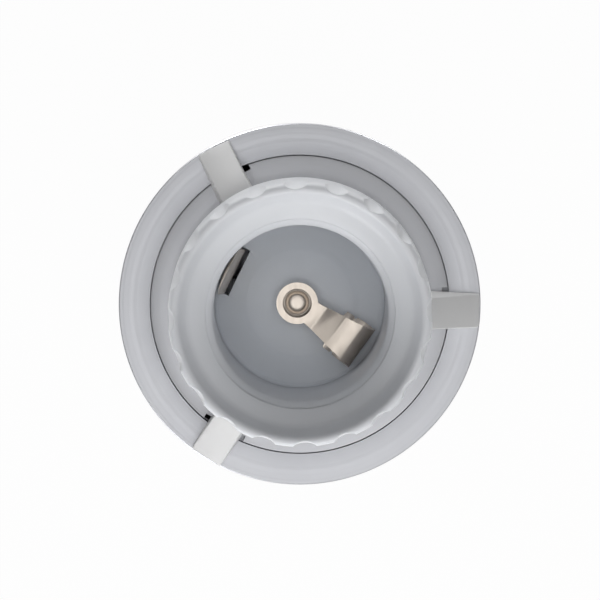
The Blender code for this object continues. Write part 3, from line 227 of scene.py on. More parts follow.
# Aluminium, turned from a casting and satin anodised: fine concentric rings, 0.25 mm apart to show.
ALUMINIUM = Finish(
    "satin_anodised_aluminium", "satin_aluminium", "C9CACE", "BCBDC2", 0.44, Grain.TURNED,
    0.25 * MM, 0.004 * MM, metallic=1.0, spread=0.04, clouds=0.35,
)
# Urea resin, pressed in a polished mould: neutral white with a soft gloss.
WHITE = Finish(
    "pressed_white_urea", "white_moulding", "EEF0F4", "E9ECF0", 0.38, Grain.MOULDED,
    0.6 * MM, 0.006 * MM,
)
# The same resin in the clamp's mould, which is duller.
ARM_WHITE = Finish(
    "pressed_white_urea_dull", "arm_moulding", "E4E4E4", "D9D9DA", 0.46, relief=0.010 * MM
)
# Contact base: white pressed resin, its colour painted lighter and bluer than the barrel's to stand
# in for light on the bore's floor, with a flatter sheen.
FLOOR_WHITE_PAINTED_LIGHT = Finish("base_resin_with_painted_light", "grey_moulding", "F1F5FA", "EBEFF5", 0.52)
# Brass strip, nickel plated: warm grey, drawn along the strip.
NICKEL = Finish(
    "nickel_plated_strip", "nickel_plate", "D6CCC1", "B9AFA4", 0.33, Grain.ROLLED,
    0.35 * MM, 0.0012 * MM, metallic=1.0, spread=0.04, clouds=0.7,
)
# Free-cutting brass, turned or sawn: yellow with a light tarnish.
BRASS = Finish(
    "machined_brass", "brass", "D9BE82", "B89A5E", 0.32, Grain.TURNED,
    0.2 * MM, 0.004 * MM, metallic=1.0, spread=0.07, clouds=0.7,
)
# Phosphor bronze spring sheet: redder than brass.
BRONZE = Finish(
    "phosphor_bronze_sheet", "bronze", "D39E74", "AE7B55", 0.33, Grain.ROLLED,
    0.2 * MM, 0.003 * MM, metallic=1.0, spread=0.07, clouds=0.7,
)
# Mild steel with blue-white zinc plating: slightly cloudy.
ZINC = Finish(
    "zinc_plated_steel", "zinc_steel", "C6C9D0", "A9ADB6", 0.34, Grain.PLATED,
    0.8 * MM, 0.003 * MM, metallic=1.0, spread=0.08, clouds=0.8,
)
# Black phenolic resin: the switch's own housing.
BLACK = Finish("black_phenolic", "dark_moulding", "2B2B2D", "232325", 0.42)


# --- bench: modelling with Blender's own tools ---


def clear_bench() -> None:
    """Leaves edit mode and deselects every object."""
    if bpy.context.mode != "OBJECT":
        bpy.ops.object.mode_set(mode="OBJECT")
    bpy.ops.object.select_all(action="DESELECT")


def on_circle(radius: float, angle: float, height: float = 0.0) -> Place:
    """Returns the point at a radius, an angle in degrees and a height."""
    turn = math.radians(angle)
    return (radius * math.cos(turn), radius * math.sin(turn), height)


class Workpiece:
    """A mesh on the bench, and the operations of shaping it."""

    def __init__(self, name: str) -> None:
        """Takes over the object that was just added."""
        self.body: Body = bpy.context.active_object
        self.body.name = name
        self.body.data.name = name
        self.seat()

    def seat(self) -> None:
        """Moves the object's place, turn and size into its mesh."""
        self.hold()
        bpy.ops.object.transform_apply(location=True, rotation=True, scale=True)

    def hold(self) -> None:
        """Makes this the one selected and active object."""
        clear_bench()
        self.body.select_set(True)
        bpy.context.view_layer.objects.active = self.body

    def pick(self, test: Test, kind: Pick = Pick.FACES) -> None:
        """Enters edit mode with some elements selected.

        Args:
            test: Tells from an element's place and normal whether it is selected.
            kind: Which elements are tested.
        """
        self.hold()
        mesh = self.body.data
        for group in (mesh.vertices, mesh.edges, mesh.polygons):
            group.foreach_set("select", [False] * len(group))
        if kind is Pick.FACES:
            for face in mesh.polygons:
                face.select = test(face.center, face.normal)
        else:
            for vertex in mesh.vertices:
                vertex.select = test(vertex.co, vertex.normal)
        bpy.context.tool_settings.mesh_select_mode = kind.value
        bpy.ops.object.mode_set(mode="EDIT")

    def everything(self, kind: Pick = Pick.FACES) -> None:
        """Enters edit mode with the whole mesh selected."""
        self.pick(lambda place, normal: True, kind)

    def move(self, step: Place) -> None:
        """Moves what is selected."""
        bpy.ops.transform.translate(value=step)

    def scale(self, share: Place, about: Place) -> None:
        """Scales what is selected about a point."""
        bpy.ops.transform.resize(value=share, center_override=about)

    def close(self) -> None:
        """Merges doubles, turns the faces outwards and leaves edit mode."""
        self.everything()
        bpy.ops.mesh.remove_doubles(threshold=WELD)
        bpy.ops.mesh.normals_make_consistent(inside=False)
        bpy.ops.object.mode_set(mode="OBJECT")

    def modify(self, kind: str, **settings: object) -> None:
        """Adds a modifier with its settings and applies it."""
        self.hold()
        bpy.ops.object.modifier_add(type=kind)
        added = self.body.modifiers[-1]
        for key, value in settings.items():
            setattr(added, key, value)
        bpy.ops.object.modifier_apply(modifier=added.name)

    def soften(self, width: float, segments: int = 2, angle: float = 30.0) -> None:
        """Rounds every edge that is sharper than an angle in degrees."""
        limit = {"limit_method": "ANGLE", "angle_limit": math.radians(angle)}
        self.modify("BEVEL", width=width, segments=segments, **limit)

    def combine(self, other: "Workpiece", operation: str) -> None:
        """Cuts with, or joins to, another workpiece, which is used up."""
        self.modify("BOOLEAN", operation=operation, object=other.body, solver="EXACT")
        bpy.data.objects.remove(other.body)

    def cut(self, *tools: "Workpiece") -> None:
        """Cuts each tool out."""
        for tool in tools:
            self.combine(tool, "DIFFERENCE")

    def join(self, *pieces: "Workpiece") -> None:
        """Fuses each piece on."""
        for piece in pieces:
            self.combine(piece, "UNION")

    def turn(self, angle: float, axis: int = 2) -> None:
        """Turns the whole piece about the origin, by an angle in degrees about X, Y or Z."""
        self.body.rotation_euler[axis] = math.radians(angle)
        self.seat()

    def shift(self, step: Place) -> None:
        """Moves the whole piece."""
        self.body.location = step
        self.seat()

    def copy(self, name: str) -> "Workpiece":
        """Returns a copy with a mesh of its own."""
        self.hold()
        bpy.ops.object.duplicate(linked=False)
        return Workpiece(name)

    def finish(self, look: Finish, body: str, *nodes: str, sharp: float = 32.0) -> Body:
        """Shades and dresses the piece and puts it on its body.

        Args:
            look: The finish.
            body: The CAD body that it rides on.
            nodes: The CAD nodes that it stands for.
            sharp: Edges over this angle in degrees stay sharp.

        Returns:
            The finished object.
        """
        self.hold()
        bpy.ops.object.shade_smooth_by_angle(angle=math.radians(sharp))
        self.body.data.materials.clear()
        self.body.data.materials.append(look.make())
        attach(self.body, body)
        if nodes:
            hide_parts(*nodes)
        faces = len(self.body.data.polygons)
        log.info("%s: %d faces, %s, on %s", self.body.name, faces, look.name, body)
        return self.body


def block(name: str, low: Place, high: Place, turn: float = 0.0) -> Workpiece:
    """Adds a block between two corners, turned about the lamp axis.

    Args:
        name: The piece's name.
        low: Lowest corner.
        high: Highest corner.
        turn: Angle in degrees.

    Returns:
        The workpiece.
    """
    middle = (Vector(low) + Vector(high)) / 2
    bpy.ops.mesh.primitive_cube_add(size=1, location=middle)
    bpy.context.active_object.scale = Vector(high) - Vector(low)
    made = Workpiece(name)
    made.turn(turn)
    return made


def rod(
    name: str, radius: float, low: float, high: float, at: Point = (0.0, 0.0), sides: int = 48
) -> Workpiece:
    """Adds a rod along Z.

    Args:
        name: The piece's name.
        radius: Its radius.
        low: Height of its lower end.
        high: Height of its upper end.
        at: Its axis.
        sides: Its number of sides.

    Returns:
        The workpiece.
    """
    bpy.ops.mesh.primitive_cylinder_add(
        vertices=sides, radius=radius, depth=high - low, location=(*at, (low + high) / 2)
    )
    return Workpiece(name)


def turned(
    name: str, profile: Sequence[Point], sides: int = ROUND, closed: bool = True
) -> Workpiece:
    """Spins a profile round the lamp axis, extruded from point to point.

    Args:
        name: The piece's name.
        profile: Radius and height of each point.
        sides: Number of steps of the spin.
        closed: Whether the last point joins the first.

    Returns:
        The workpiece.
    """
    first = (profile[0][0], 0.0, profile[0][1])
    bpy.ops.mesh.primitive_plane_add(size=MM, location=first)
    made = Workpiece(name)
    made.everything(Pick.VERTS)
    bpy.ops.mesh.merge(type="CENTER")
    path = list(profile) + ([profile[0]] if closed else [])
    for (radius, height), (next_radius, next_height) in zip(path, path[1:]):
        step = (next_radius - radius, 0.0, next_height - height)
        bpy.ops.mesh.extrude_vertices_move(TRANSFORM_OT_translate={"value": step})
    bpy.ops.mesh.select_all(action="SELECT")
    bpy.ops.mesh.spin(steps=sides, angle=2 * math.pi, center=(0, 0, 0), axis=(0, 0, 1))
    made.close()
    return made


def collar(name: str, radius: float, low: float, high: float) -> Workpiece:
    """Spins a ring that trims what stands out past a radius."""
    outer = radius + 3 * MM
    return turned(name, [(radius, low), (outer, low), (outer, high), (radius, high)])


def strip(name: str, path: Sequence[Point], widths: Sequence[float], thickness: float) -> Workpiece:
    """Bends a metal strip: an edge extruded along a path in XZ, then thickened.

    Args:
        name: The piece's name.
        path: Radius and height of each bend.
        widths: The strip's width at each bend.
        thickness: The metal's thickness.

    Returns:
        The workpiece.
    """
    x, z = path[0]
    bpy.ops.mesh.primitive_plane_add(size=widths[0], location=(x, 0, z))
    made = Workpiece(name)
    made.everything(Pick.VERTS)
    made.scale((0, 1, 1), (x, 0, z))
    bpy.ops.mesh.remove_doubles(threshold=WELD)
    bpy.ops.mesh.select_all(action="SELECT")
    for (x, z), (next_x, next_z), width, next_width in zip(path, path[1:], widths, widths[1:]):
        step = (next_x - x, 0, next_z - z)
        bpy.ops.mesh.extrude_edges_move(TRANSFORM_OT_translate={"value": step})
        made.scale((1, next_width / width, 1), (next_x, 0, next_z))
    made.modify("SOLIDIFY", thickness=thickness, offset=0, use_even_offset=True)
    made.close()
    return made


# --- stage ---


@dataclass
class Studio:
    """Camera, floor and soft lights.

    Attributes:
        distance: From the camera to the cup's face.
        lean: How far the camera leans towards +Y, in degrees.
        drift: How far it leans towards -X, in degrees.
        span: Width of the picture at the cup's face.
        middle: The picture's middle on the cup's face.
        floor_size: Side of the floor.
        floor_drop: How far the floor lies under the cup.
        floor_glow: How white the floor is to the camera; the rest takes the shadow.
        fill: Strength of the room's light.
        lamps: Name, direction, height in degrees, distance, size and power of each lamp.
    """

    distance: float = 700 * MM
    lean: float = 3.5
    drift: float = 0.2
    span: float = 94.8 * MM
    middle: Point = (0.05 * MM, 0.79 * MM)
    floor_size: float = 6.0
    floor_drop: float = 0.02 * MM
    floor_glow: float = 0.97
    fill: float = 0.03
    lamps: tuple[tuple[str, float, float, float, float, float], ...] = (
        ("ceiling_panel", 0.0, 90.0, 0.9, 0.9, 1.86),
        ("ceiling_spot", 250.0, 80.0, 0.9, 0.3, 0.32),
        ("front_lamp", 270.0, 35.0, 0.42, 0.22, 0.38),
        ("left_lamp", 238.0, 12.0, 0.42, 0.22, 0.62),
        ("right_lamp", 308.0, 38.0, 0.42, 0.22, 0.36),
        ("rear_card", 110.0, 1.0, 0.42, 0.06, 0.6),
        ("side_card", 65.0, 1.0, 0.42, 0.06, 0.25),
    )

    def build(self) -> None:
        """Sets up the whole studio."""
        bpy.context.scene.view_settings.view_transform = "Standard"
        self.camera()
        self.floor()
        self.world()
        for lamp in self.lamps:
            self.lamp(*lamp)
        log.info("studio: camera, floor, world and %d lamps", len(self.lamps))

    def camera(self) -> None:
        """Places the camera over the mouth, as the photograph was taken."""
        clear_bench()
        x, y = self.middle
        lean, drift = math.radians(self.lean), math.radians(self.drift)
        away = Vector((-math.sin(drift), math.sin(lean), 1)).normalized()
        bpy.ops.object.camera_add(location=Vector((x, y, FACE_Z)) + away * self.distance)
        camera = bpy.context.active_object
        camera.name = "photo_camera"
        camera.rotation_euler = (-lean, -drift, 0.0)
        camera.data.sensor_width = SENSOR
        camera.data.lens = SENSOR * self.distance / self.span
        camera.data.clip_start = 0.01
        bpy.context.scene.camera = camera

    def floor(self) -> None:
        """Lays the pale floor that the cup stands on."""
        clear_bench()
        bpy.ops.mesh.primitive_plane_add(size=self.floor_size, location=(0, 0, 0))
        floor = Workpiece("studio_floor")
        floor.shift((0, 0, -self.floor_drop))
        material = bpy.data.materials.new("studio_paper")
        material.use_nodes = True
        tree = material.node_tree
        tree.nodes.clear()
        paper = add_node(tree, "BsdfDiffuse", {"Color": linear("E6E6E6")})
        white = add_node(tree, "Emission", {"Color": linear("FFFFFF"), "Strength": 1.0})
        camera = add_node(tree, "LightPath", out="Is Camera Ray")
        glossy = add_node(tree, "LightPath", out="Is Glossy Ray")
        seen = add_node(tree, "Math", {0: camera, 1: glossy}, operation="MAXIMUM")
        share = add_node(tree, "Math", {0: seen, 1: self.floor_glow}, operation="MULTIPLY")
        mixed = add_node(tree, "MixShader", {0: share, 1: paper, 2: white})
        add_node(tree, "OutputMaterial", {"Surface": mixed})
        floor.body.data.materials.append(material)

    def world(self) -> None:
        """Fills the room with plain grey light, white to the camera."""
        world = bpy.data.worlds.new("studio_room")
        bpy.context.scene.world = world
        world.use_nodes = True
        tree = world.node_tree
        tree.nodes.clear()
        seen = add_node(tree, "LightPath", out="Is Camera Ray")
        strength = add_node(tree, "MapRange", {"Value": seen, 3: self.fill, 4: 1.0})
        room = add_node(tree, "Background", {"Color": linear("FFFFFF"), "Strength": strength})
        add_node(tree, "OutputWorld", {"Surface": room})

    def lamp(
        self, name: str, angle: float, rise: float, distance: float, size: float, power: float
    ) -> None:
        """Hangs a round soft lamp that looks at the mouth.

        Args:
            name: The lamp's name.
            angle: Direction that it stands in, in degrees.
            rise: Its height in degrees above the face.
            distance: From the mouth.
            size: Its width.
            power: Its power in watts.
        """
        clear_bench()
        flat, up, _ = on_circle(distance, rise)
        place = Vector(on_circle(flat, angle, up + FACE_Z))
        bpy.ops.object.light_add(type="AREA", location=place)
        lamp = bpy.context.active_object
        lamp.name = name
        lamp.data.shape = "DISK"
        lamp.data.size = size
        lamp.data.energy = power
        lamp.rotation_mode = "QUATERNION"
        lamp.rotation_quaternion = (place - Vector((0, 0, FACE_Z))).to_track_quat("Z", "Y")


# --- cup, cover and clamp ---


@dataclass
class Cup:
    """Turned cup and the cover disc in its mouth.

    Attributes:
        radius: Outside of the cup's wall.
        bore: Inside of it.
        flange: Outside of the face ring.
        flange_depth: Thickness of the face ring.
        seam: Half the gap between face ring and cover.
        ledge: Inside of the ledge that carries the cover.
        ledge_z: Underside and top of that ledge.
        cover_low: Underside of the cover.
        collar: Hole of the cover.
        rear_wall: Thickness of the rear wall.
        rear_chamfer: Width of the chamfer round it.
        neck: Height of the sweep from the wall to the face ring.
        entry: Hole for the entry bush.
        edge: Rounding of the turned edges.
        notch_inner: Inner end of the notches in the cover.
        notches: Start and end of each arm's open notches, across the arm.
        leg_room: Half the length of the notch under an arm.
        slot_start: Where the slots for the arms' feet start, across the arm.
        cord_hole: Hole for the cord's bush.
        earth_at: Distance and direction of the earth screw's hole.
    """

    radius: float = 25.2 * MM
    bore: float = 23.6 * MM
    flange: float = 28.6 * MM
    flange_depth: float = 2.6 * MM
    seam: float = 0.09 * MM
    ledge: float = 22.05 * MM
    ledge_z: Point = mm(33.9, 35.7)
    cover_low: float = 36.0 * MM
    collar: float = 17.65 * MM
    rear_wall: float = 2.0 * MM
    rear_chamfer: float = 1.8 * MM
    neck: float = 2.4 * MM
    entry: float = 6.8 * MM
    edge: float = 0.16 * MM
    notch_inner: float = 22.4 * MM
    notches: tuple[tuple[Point, ...], ...] = (
        table((-4.15, -3.1)), table((2.2, 3.5)), table((-3.9, -2.9), (2.2, 3.3)),
    )
    leg_room: float = 2.3 * MM
    slot_start: float = -4.6111 * MM
    cord_hole: float = 3.1 * MM
    earth_at: Point = (18.2 * MM, 211.5)

    def build(self) -> None:
        """Builds both pieces."""
        self.cup()
        self.cover()

    def cup(self) -> Body:
        """Spins the cup and cuts its slots and holes."""
        low = FACE_Z - self.flange_depth
        lip = self.bore + self.seam
        chamfer = self.rear_chamfer
        ledge_low, ledge_top = self.ledge_z
        profile = [
            (lip, FACE_Z), (self.flange - self.edge, FACE_Z), (self.flange, FACE_Z - self.edge),
            (self.flange, low + self.edge), (self.flange - self.edge, low),
            (self.radius + 3 * self.edge, low - self.neck / 4),
            (self.radius + self.edge, low - self.neck / 2), (self.radius, low - self.neck),
            (self.radius, chamfer), (self.radius - chamfer / 4, chamfer / 3),
            (self.radius - chamfer, 0), (self.entry, 0), (self.entry, self.rear_wall),
            (self.bore, self.rear_wall), (self.bore, ledge_low), (self.ledge, ledge_low),
            (self.ledge, ledge_top), (lip, ledge_top),
        ]
        cup = turned("turned_cup", profile)
        low_corner = (self.ledge - FIT, self.slot_start, ledge_low - FIT)
        high_corner = (self.bore, self.leg_room, ledge_top + FIT)
        for number, angle in enumerate(ARM_ANGLES):
            cup.cut(block(f"slot_{number}", low_corner, high_corner, angle))
        hole = rod("hole", self.cord_hole, -self.radius - MM, -self.bore + MM)
        hole.turn(-90, axis=0)
        hole.shift((0, 0, CORD_Z))
        earth_at = on_circle(*self.earth_at)[:2]
        cup.cut(hole, rod("earth", SCREW_HOLE, -FIT, self.rear_wall + FIT, earth_at))
        cup.soften(self.edge, segments=3)
        return cup.finish(ALUMINIUM, "housing", "housing_cup")

    def cover(self) -> Body:
        """Spins the cover disc and cuts a notch beside each arm."""
        rim = self.bore - self.seam
        low = self.cover_low
        profile = [(rim, FACE_Z), (rim, low), (self.collar, low), (self.collar, FACE_Z)]
        cover = turned("cover_disc", profile)
        for angle, notches in zip(ARM_ANGLES, self.notches):
            for first, last in [(-self.leg_room, self.leg_room), *notches]:
                start = (self.notch_inner, first, low - FIT)
                cover.cut(block("notch", start, (self.bore + FIT, last, FACE_Z + FIT), angle))
        cover.soften(self.edge / 2)
        return cover.finish(ALUMINIUM, "housing", "cover_plate")


@dataclass
class Clamp:
    """Ring with three sloping arms, pressed down by the grip ring.

    Attributes:
        bore: Inside of the ring.
        wall: Thickness of the ring.
        low: Underside of ring and arms.
        high: Top of the ring.
        reach: Outer end of the arms.
        width: Width of an arm at the ring.
        tip_width: Width at its outer end.
        draft: How much narrower an arm's top is, on its left and right side.
        skews: How far each arm is out of the radial direction, in degrees.
        slope: Share of an arm's length, and its height there over the face.
        tip: Its height at its outer end.
        edge: Rounding of the arms' edges.
        leg_width: Width of the leg under each arm.
        leg_x: Its inner and outer side.
        foot: Lower and upper side of its foot, and its sideways reach.
    """

    bore: float = 17.65 * MM
    wall: float = 1.7 * MM
    low: float = 38.0 * MM
    high: float = 45.4 * MM
    reach: float = 28.33 * MM
    width: float = 5.9 * MM
    tip_width: float = 5.4 * MM
    draft: Point = (0.75 * MM, 0.15 * MM)
    skews: tuple[float, float, float] = (-4.5, 0.5, -3.0)
    slope: tuple[Point, ...] = (
        (0.12, 7.2 * MM), (0.3, 6.05 * MM), (0.48, 4.75 * MM), (0.66, 3.35 * MM), (0.84, 1.95 * MM),
    )
    tip: float = 0.75 * MM
    edge: float = 0.28 * MM
    leg_width: float = 4.0 * MM
    leg_x: Point = mm(22.64, 23.1)
    foot: Place = mm(32.6, 33.6, 1.8)

    def build(self) -> Body:
        """Joins the ring, the arms and their legs."""
        bore, outer, low, high = self.bore, self.bore + self.wall, self.low, self.high
        ring = turned("clamp_ring", [(outer, high), (outer, low), (bore, low), (bore, high)])
        arm = self.arm()
        leg = self.leg()
        for number, (angle, skew) in enumerate(zip(ARM_ANGLES, self.skews)):
            next_arm = arm.copy(f"arm_{number}")
            next_arm.shift((-outer, 0, 0))
            next_arm.turn(skew)
            next_arm.shift((outer, 0, 0))
            next_arm.turn(angle)
            next_leg = leg.copy(f"leg_{number}")
            next_leg.turn(angle)
            ring.join(next_arm, next_leg)
        for used in (arm, leg):
            bpy.data.objects.remove(used.body)
        return ring.finish(ARM_WHITE, "housing", "clamp_spider")

    def arm(self) -> Workpiece:
        """Cuts a block across at each station, and lowers and narrows it there."""
        inner, outer = self.bore + self.wall / 2, self.bore + self.wall
        half = self.width / 2
        rise = self.high - FACE_Z
        arm = block("arm", (inner, -half, self.low), (self.reach, half, self.high))
        stations = [(outer + (self.reach - outer) * share, height) for share, height in self.slope]
        arm.everything()
        for x, _ in stations:
            bpy.ops.mesh.bisect(plane_co=(x, 0, 0), plane_no=(1, 0, 0))
            bpy.ops.mesh.select_all(action="SELECT")
        stations.append((self.reach, self.tip))
        for x, height in stations:
            arm.pick(self.station(x, raised=True), Pick.VERTS)
            arm.move((0, 0, FACE_Z + height - self.high))
            taper = 1 - (1 - self.tip_width / self.width) * (x - inner) / (self.reach - inner)
            arm.pick(self.station(x), Pick.VERTS)
            arm.scale((1, taper, 1), (x, 0, 0))
        for side, draft in zip((1, -1), self.draft):
            for x, height in [(inner, rise), *stations]:
                arm.pick(self.station(x, raised=True, side=side), Pick.VERTS)
                arm.move((0, -side * draft * height / rise, 0))
        arm.soften(self.edge, segments=3, angle=40)
        return arm

    def station(self, x: float, raised: bool = False, side: int = 0) -> Test:
        """Picks corners of an arm.

        Args:
            x: The station that they are at.
            raised: Whether only those above the underside count.
            side: 1 or -1 for one side only.

        Returns:
            The test for Workpiece.pick.
        """
        near = 0.01 * MM
        over = self.low + 0.1 * MM if raised else 0.0
        return lambda place, _: abs(place.x - x) < near and place.z > over and place.y * side >= 0

    def leg(self) -> Workpiece:
        """Shapes the leg, and extrudes its foot sideways under the ledge."""
        low, top, reach = self.foot
        (inner, outer), half = self.leg_x, self.leg_width / 2
        leg = block("leg", (inner, -half, low), (outer, half, self.low + 2 * FIT))
        leg.everything()
        bpy.ops.mesh.bisect(plane_co=(0, 0, top), plane_no=(0, 0, 1))
        leg.pick(lambda place, normal: normal.y > 0.9 and place.z < top)
        bpy.ops.mesh.extrude_region_move(TRANSFORM_OT_translate={"value": (0, reach, 0)})
        return leg


# --- grip ring and barrel ---


@dataclass
class GripRing:
    """Fluted ring that screws down on the clamp.

    Attributes:
        radius: Outside, at the top.
        flare: How much wider it is below.
        low: Its lower edge.
        bore: Inside of its collar.
        lip: Inside of the lip over the barrel's end.
        lip_z: Underside and top of the lip's edge.
        band: Radius and height of the inside of the sloping rim.
        inlet: Steps of the surface there, from that point.
        crest: Radius at which the rim turns flat.
        brow: Steps of the rim's top, from there.
        shoulder: Steps from the rim's outer edge down to the straight side.
        flutes: How many flutes.
        phase: Direction of the first, in degrees.
        flute_width: Width of a flute at the top.
        flute_depth: Its depth there.
        flute_run: Height over which it runs out.
        edge: Rounding of the edges.
    """

    radius: float = 20.2 * MM
    flare: float = 0.2 * MM
    low: float = 45.7 * MM
    bore: float = 17.65 * MM
    lip: float = 14.6 * MM
    lip_z: Point = mm(60.6, 61.1)
    band: Point = mm(17.2, 62.35)
    inlet: tuple[Point, ...] = table((-1.3, -0.6), (-0.5, -0.22), (0, 0), (0.4, 0.42))
    crest: float = 18.8 * MM
    brow: tuple[Point, ...] = table(
        (-0.4, -0.62), (-0.2, -0.3), (0.1, -0.08), (0.45, 0),
        (0.7, -0.02), (0.92, -0.1), (1.1, -0.26), (1.24, -0.52),
    )
    shoulder: tuple[Point, ...] = table((-0.06, -1.0), (0, -1.8))
    flutes: int = 20
    phase: float = 2.0
    flute_width: float = 4.1 * MM
    flute_depth: float = 1.0 * MM
    flute_run: float = 9.0 * MM
    edge: float = 0.12 * MM

    def build(self) -> Body:
        """Spins the ring and cuts its flutes."""
        profile = [
            (self.lip, self.lip_z[1]), *stepped(self.band, self.inlet),
            *stepped((self.crest, RIM_Z), self.brow), *stepped((self.radius, RIM_Z), self.shoulder),
            (self.radius + self.flare, self.low + 3 * self.edge),
            (self.radius + self.flare - 3 * self.edge, self.low), (self.bore, self.low),
            (self.bore, self.lip_z[0]), (self.lip, self.lip_z[0]),
        ]
        ring = turned("fluted_grip_ring", profile, sides=240)
        bend = self.flute_width**2 / (8 * self.flute_depth) + self.flute_depth / 2
        reach = self.flute_run + MM
        tool = rod("flute", bend, -reach, reach, sides=72)
        tool.turn(-math.degrees(math.atan2(self.flute_depth, self.flute_run)), axis=1)
        tool.shift((self.radius - self.flute_depth + bend, 0, RIM_Z))
        for number in range(self.flutes):
            flute = tool.copy(f"flute_{number}")
            flute.turn(self.phase + 360 / self.flutes * number)
            ring.cut(flute)
        bpy.data.objects.remove(tool.body)
        ring.soften(self.edge, angle=24)
        return ring.finish(WHITE, "grip_ring", "grip_ring", sharp=50)


@dataclass
class Barrel:
    """Insulating barrel with the lamp's bore, and the contact base that closes it.

    Attributes:
        radius: Outside of the tube.
        bore: Inside of it.
        mouth: Height of its end.
        bevel: Steps of the bevel at its mouth, from the bore's end.
        flange: Outside of the clamped flange.
        flange_z: Lower and upper face of that flange.
        skirt: Outside and inside of the skirt below.
        end: Lower end of the barrel.
        floor: Top of the contact base.
        ridge: Height of the thread's ridges in the bore.
        pitch: Distance between them.
        ridges: How many.
        first: Height of the first above the face.
        boss: Radius of the raised middle of the floor.
        boss_edge: Distance from its edge, and share of the step there.
        step: How much the floor is lower round the boss.
        cove: Steps of the floor's upturned edge, from the bore.
        brim: How far the contact base reaches under the skirt.
        base_low: Underside of the contact base.
        slot: Inner and outer side and half length of the side contact's slot.
        slot_round: Radius of the slot's curved outer side.
        pocket: Inner and outer side of the pocket behind the side contact.
        pocket_z: Its lower edge over the floor and its upper edge over the face.
        rivet_hole: Radius of the rivet's hole.
        pilot: Place of the hole for the strap's screw.
        pillars: Distance, radius and lower end of the two screw pillars.
        pillar_angle: Direction of the first.
        pillar_hole: Top of their screw holes.
    """

    radius: float = 17.3 * MM
    bore: float = 13.5 * MM
    mouth: float = 60.3 * MM
    bevel: tuple[Point, ...] = table((0, -1.1), (0.25, -0.65), (0.9, 0))
    flange: float = 21.75 * MM
    flange_z: Point = mm(33.7, 35.7)
    skirt: Point = mm(16.4, 14.2)
    end: float = 30.7 * MM
    floor: float = 33.2 * MM
    ridge: float = 0.12 * MM
    pitch: float = 3.63 * MM
    ridges: int = 4
    first: float = 3.5 * MM
    boss: float = 8.7 * MM
    boss_edge: tuple[Point, ...] = ((-0.5 * MM, 0.0), (0.0, 0.2), (0.5 * MM, 0.85), (1.0 * MM, 1.0))
    step: float = 0.2 * MM
    cove: tuple[Point, ...] = table(
        (-1.1, 0), (-0.65, 0.1), (-0.3, 0.35), (-0.07, 0.9), (-0.04, 0.9), (-0.04, 0)
    )
    brim: float = 0.8 * MM
    base_low: float = 25.7 * MM
    slot: Place = mm(10.65, 12.95, 4.0)
    slot_round: float = 12.9 * MM
    pocket: Point = mm(12.6, 14.3)
    pocket_z: Point = mm(4.6, 9.2)
    rivet_hole: float = 1.2 * MM
    pilot: Point = mm(-10.5, -1.3)
    pillars: Place = mm(18.2, 2.8, 13.3)
    pillar_angle: float = 70.0
    pillar_hole: float = 26.0 * MM

    def build(self) -> None:
        """Builds barrel and base."""
        self.barrel()
        self.base()

    def barrel(self) -> Body:
        """Spins the tube, adds its pillars and cuts the side contact's pocket."""
        floor = self.floor + FIT / 6
        profile = [
            (self.radius, self.mouth), (self.radius, self.flange_z[1]),
            (self.flange, self.flange_z[1]), (self.flange, self.flange_z[0]),
            (self.skirt[0], self.flange_z[0]), (self.skirt[0], self.end), (self.skirt[1], self.end),
            (self.skirt[1], floor), (self.bore, floor),
        ]
        for step in range(self.ridges * BEND):
            rise = self.ridge * (1 - math.cos(2 * math.pi * step / BEND)) / 2
            profile.append((self.bore - rise, FACE_Z + self.first + step / BEND * self.pitch))
        profile.append((self.bore, FACE_Z + self.first + self.ridges * self.pitch))
        profile += stepped((self.bore, self.mouth), self.bevel)
        barrel = turned("lamp_barrel_tube", profile)
        distance, radius, low = self.pillars
        for turn in (0, 180):
            at = on_circle(distance, self.pillar_angle + turn)[:2]
            pillar = rod("pillar", radius, low, self.flange_z[1] - FIT, at)
            pillar.cut(rod("hole", SCREW_HOLE, low - FIT, self.pillar_hole, at))
            barrel.join(pillar)
        half = self.slot[2] + FIT
        low_corner = (self.pocket[0], -half, self.floor + self.pocket_z[0])
        high_corner = (self.pocket[1], half, FACE_Z + self.pocket_z[1])
        barrel.cut(block("pocket", low_corner, high_corner, SIDE_ANGLE))
        barrel.soften(0.1 * MM, angle=35)
        return barrel.finish(WHITE, "housing", "lamp_barrel")

    def base(self) -> Body:
        """Spins the contact base and cuts its holes."""
        plug, brim = self.skirt[1] - FIT, self.skirt[1] + self.brim
        low, end, rim = self.base_low, self.end - FIT, self.floor - self.step
        profile = [
            (0, self.floor),
            *((self.boss + out, self.floor - share * self.step) for out, share in self.boss_edge),
            *stepped((self.bore, rim), self.cove), (plug, rim), (plug, end), (brim, end),
            (brim, low), (0, low),
        ]
        base = turned("bore_floor", profile, closed=False)
        base.cut(rod("rivet_hole", self.rivet_hole, low - FIT, self.floor + FIT, RIVET_AT))
        inner, outer, half = self.slot
        low_corner, high_corner = (inner, -half, low - FIT), (outer, half, self.floor + FIT)
        slot = block("slot", low_corner, high_corner, SIDE_ANGLE)
        slot.cut(collar("slot_round", self.slot_round, low - MM, self.floor + MM))
        base.cut(slot, rod("pilot", SCREW_HOLE, low - FIT, end - FIT, self.pilot))
        base.soften(0.1 * MM, angle=20)
        # painted light: the base's white is lifted and cooled to stand in for light on the bore's
        # floor
        return base.finish(FLOOR_WHITE_PAINTED_LIGHT, "housing", "contact_base")


# --- lamp contacts ---


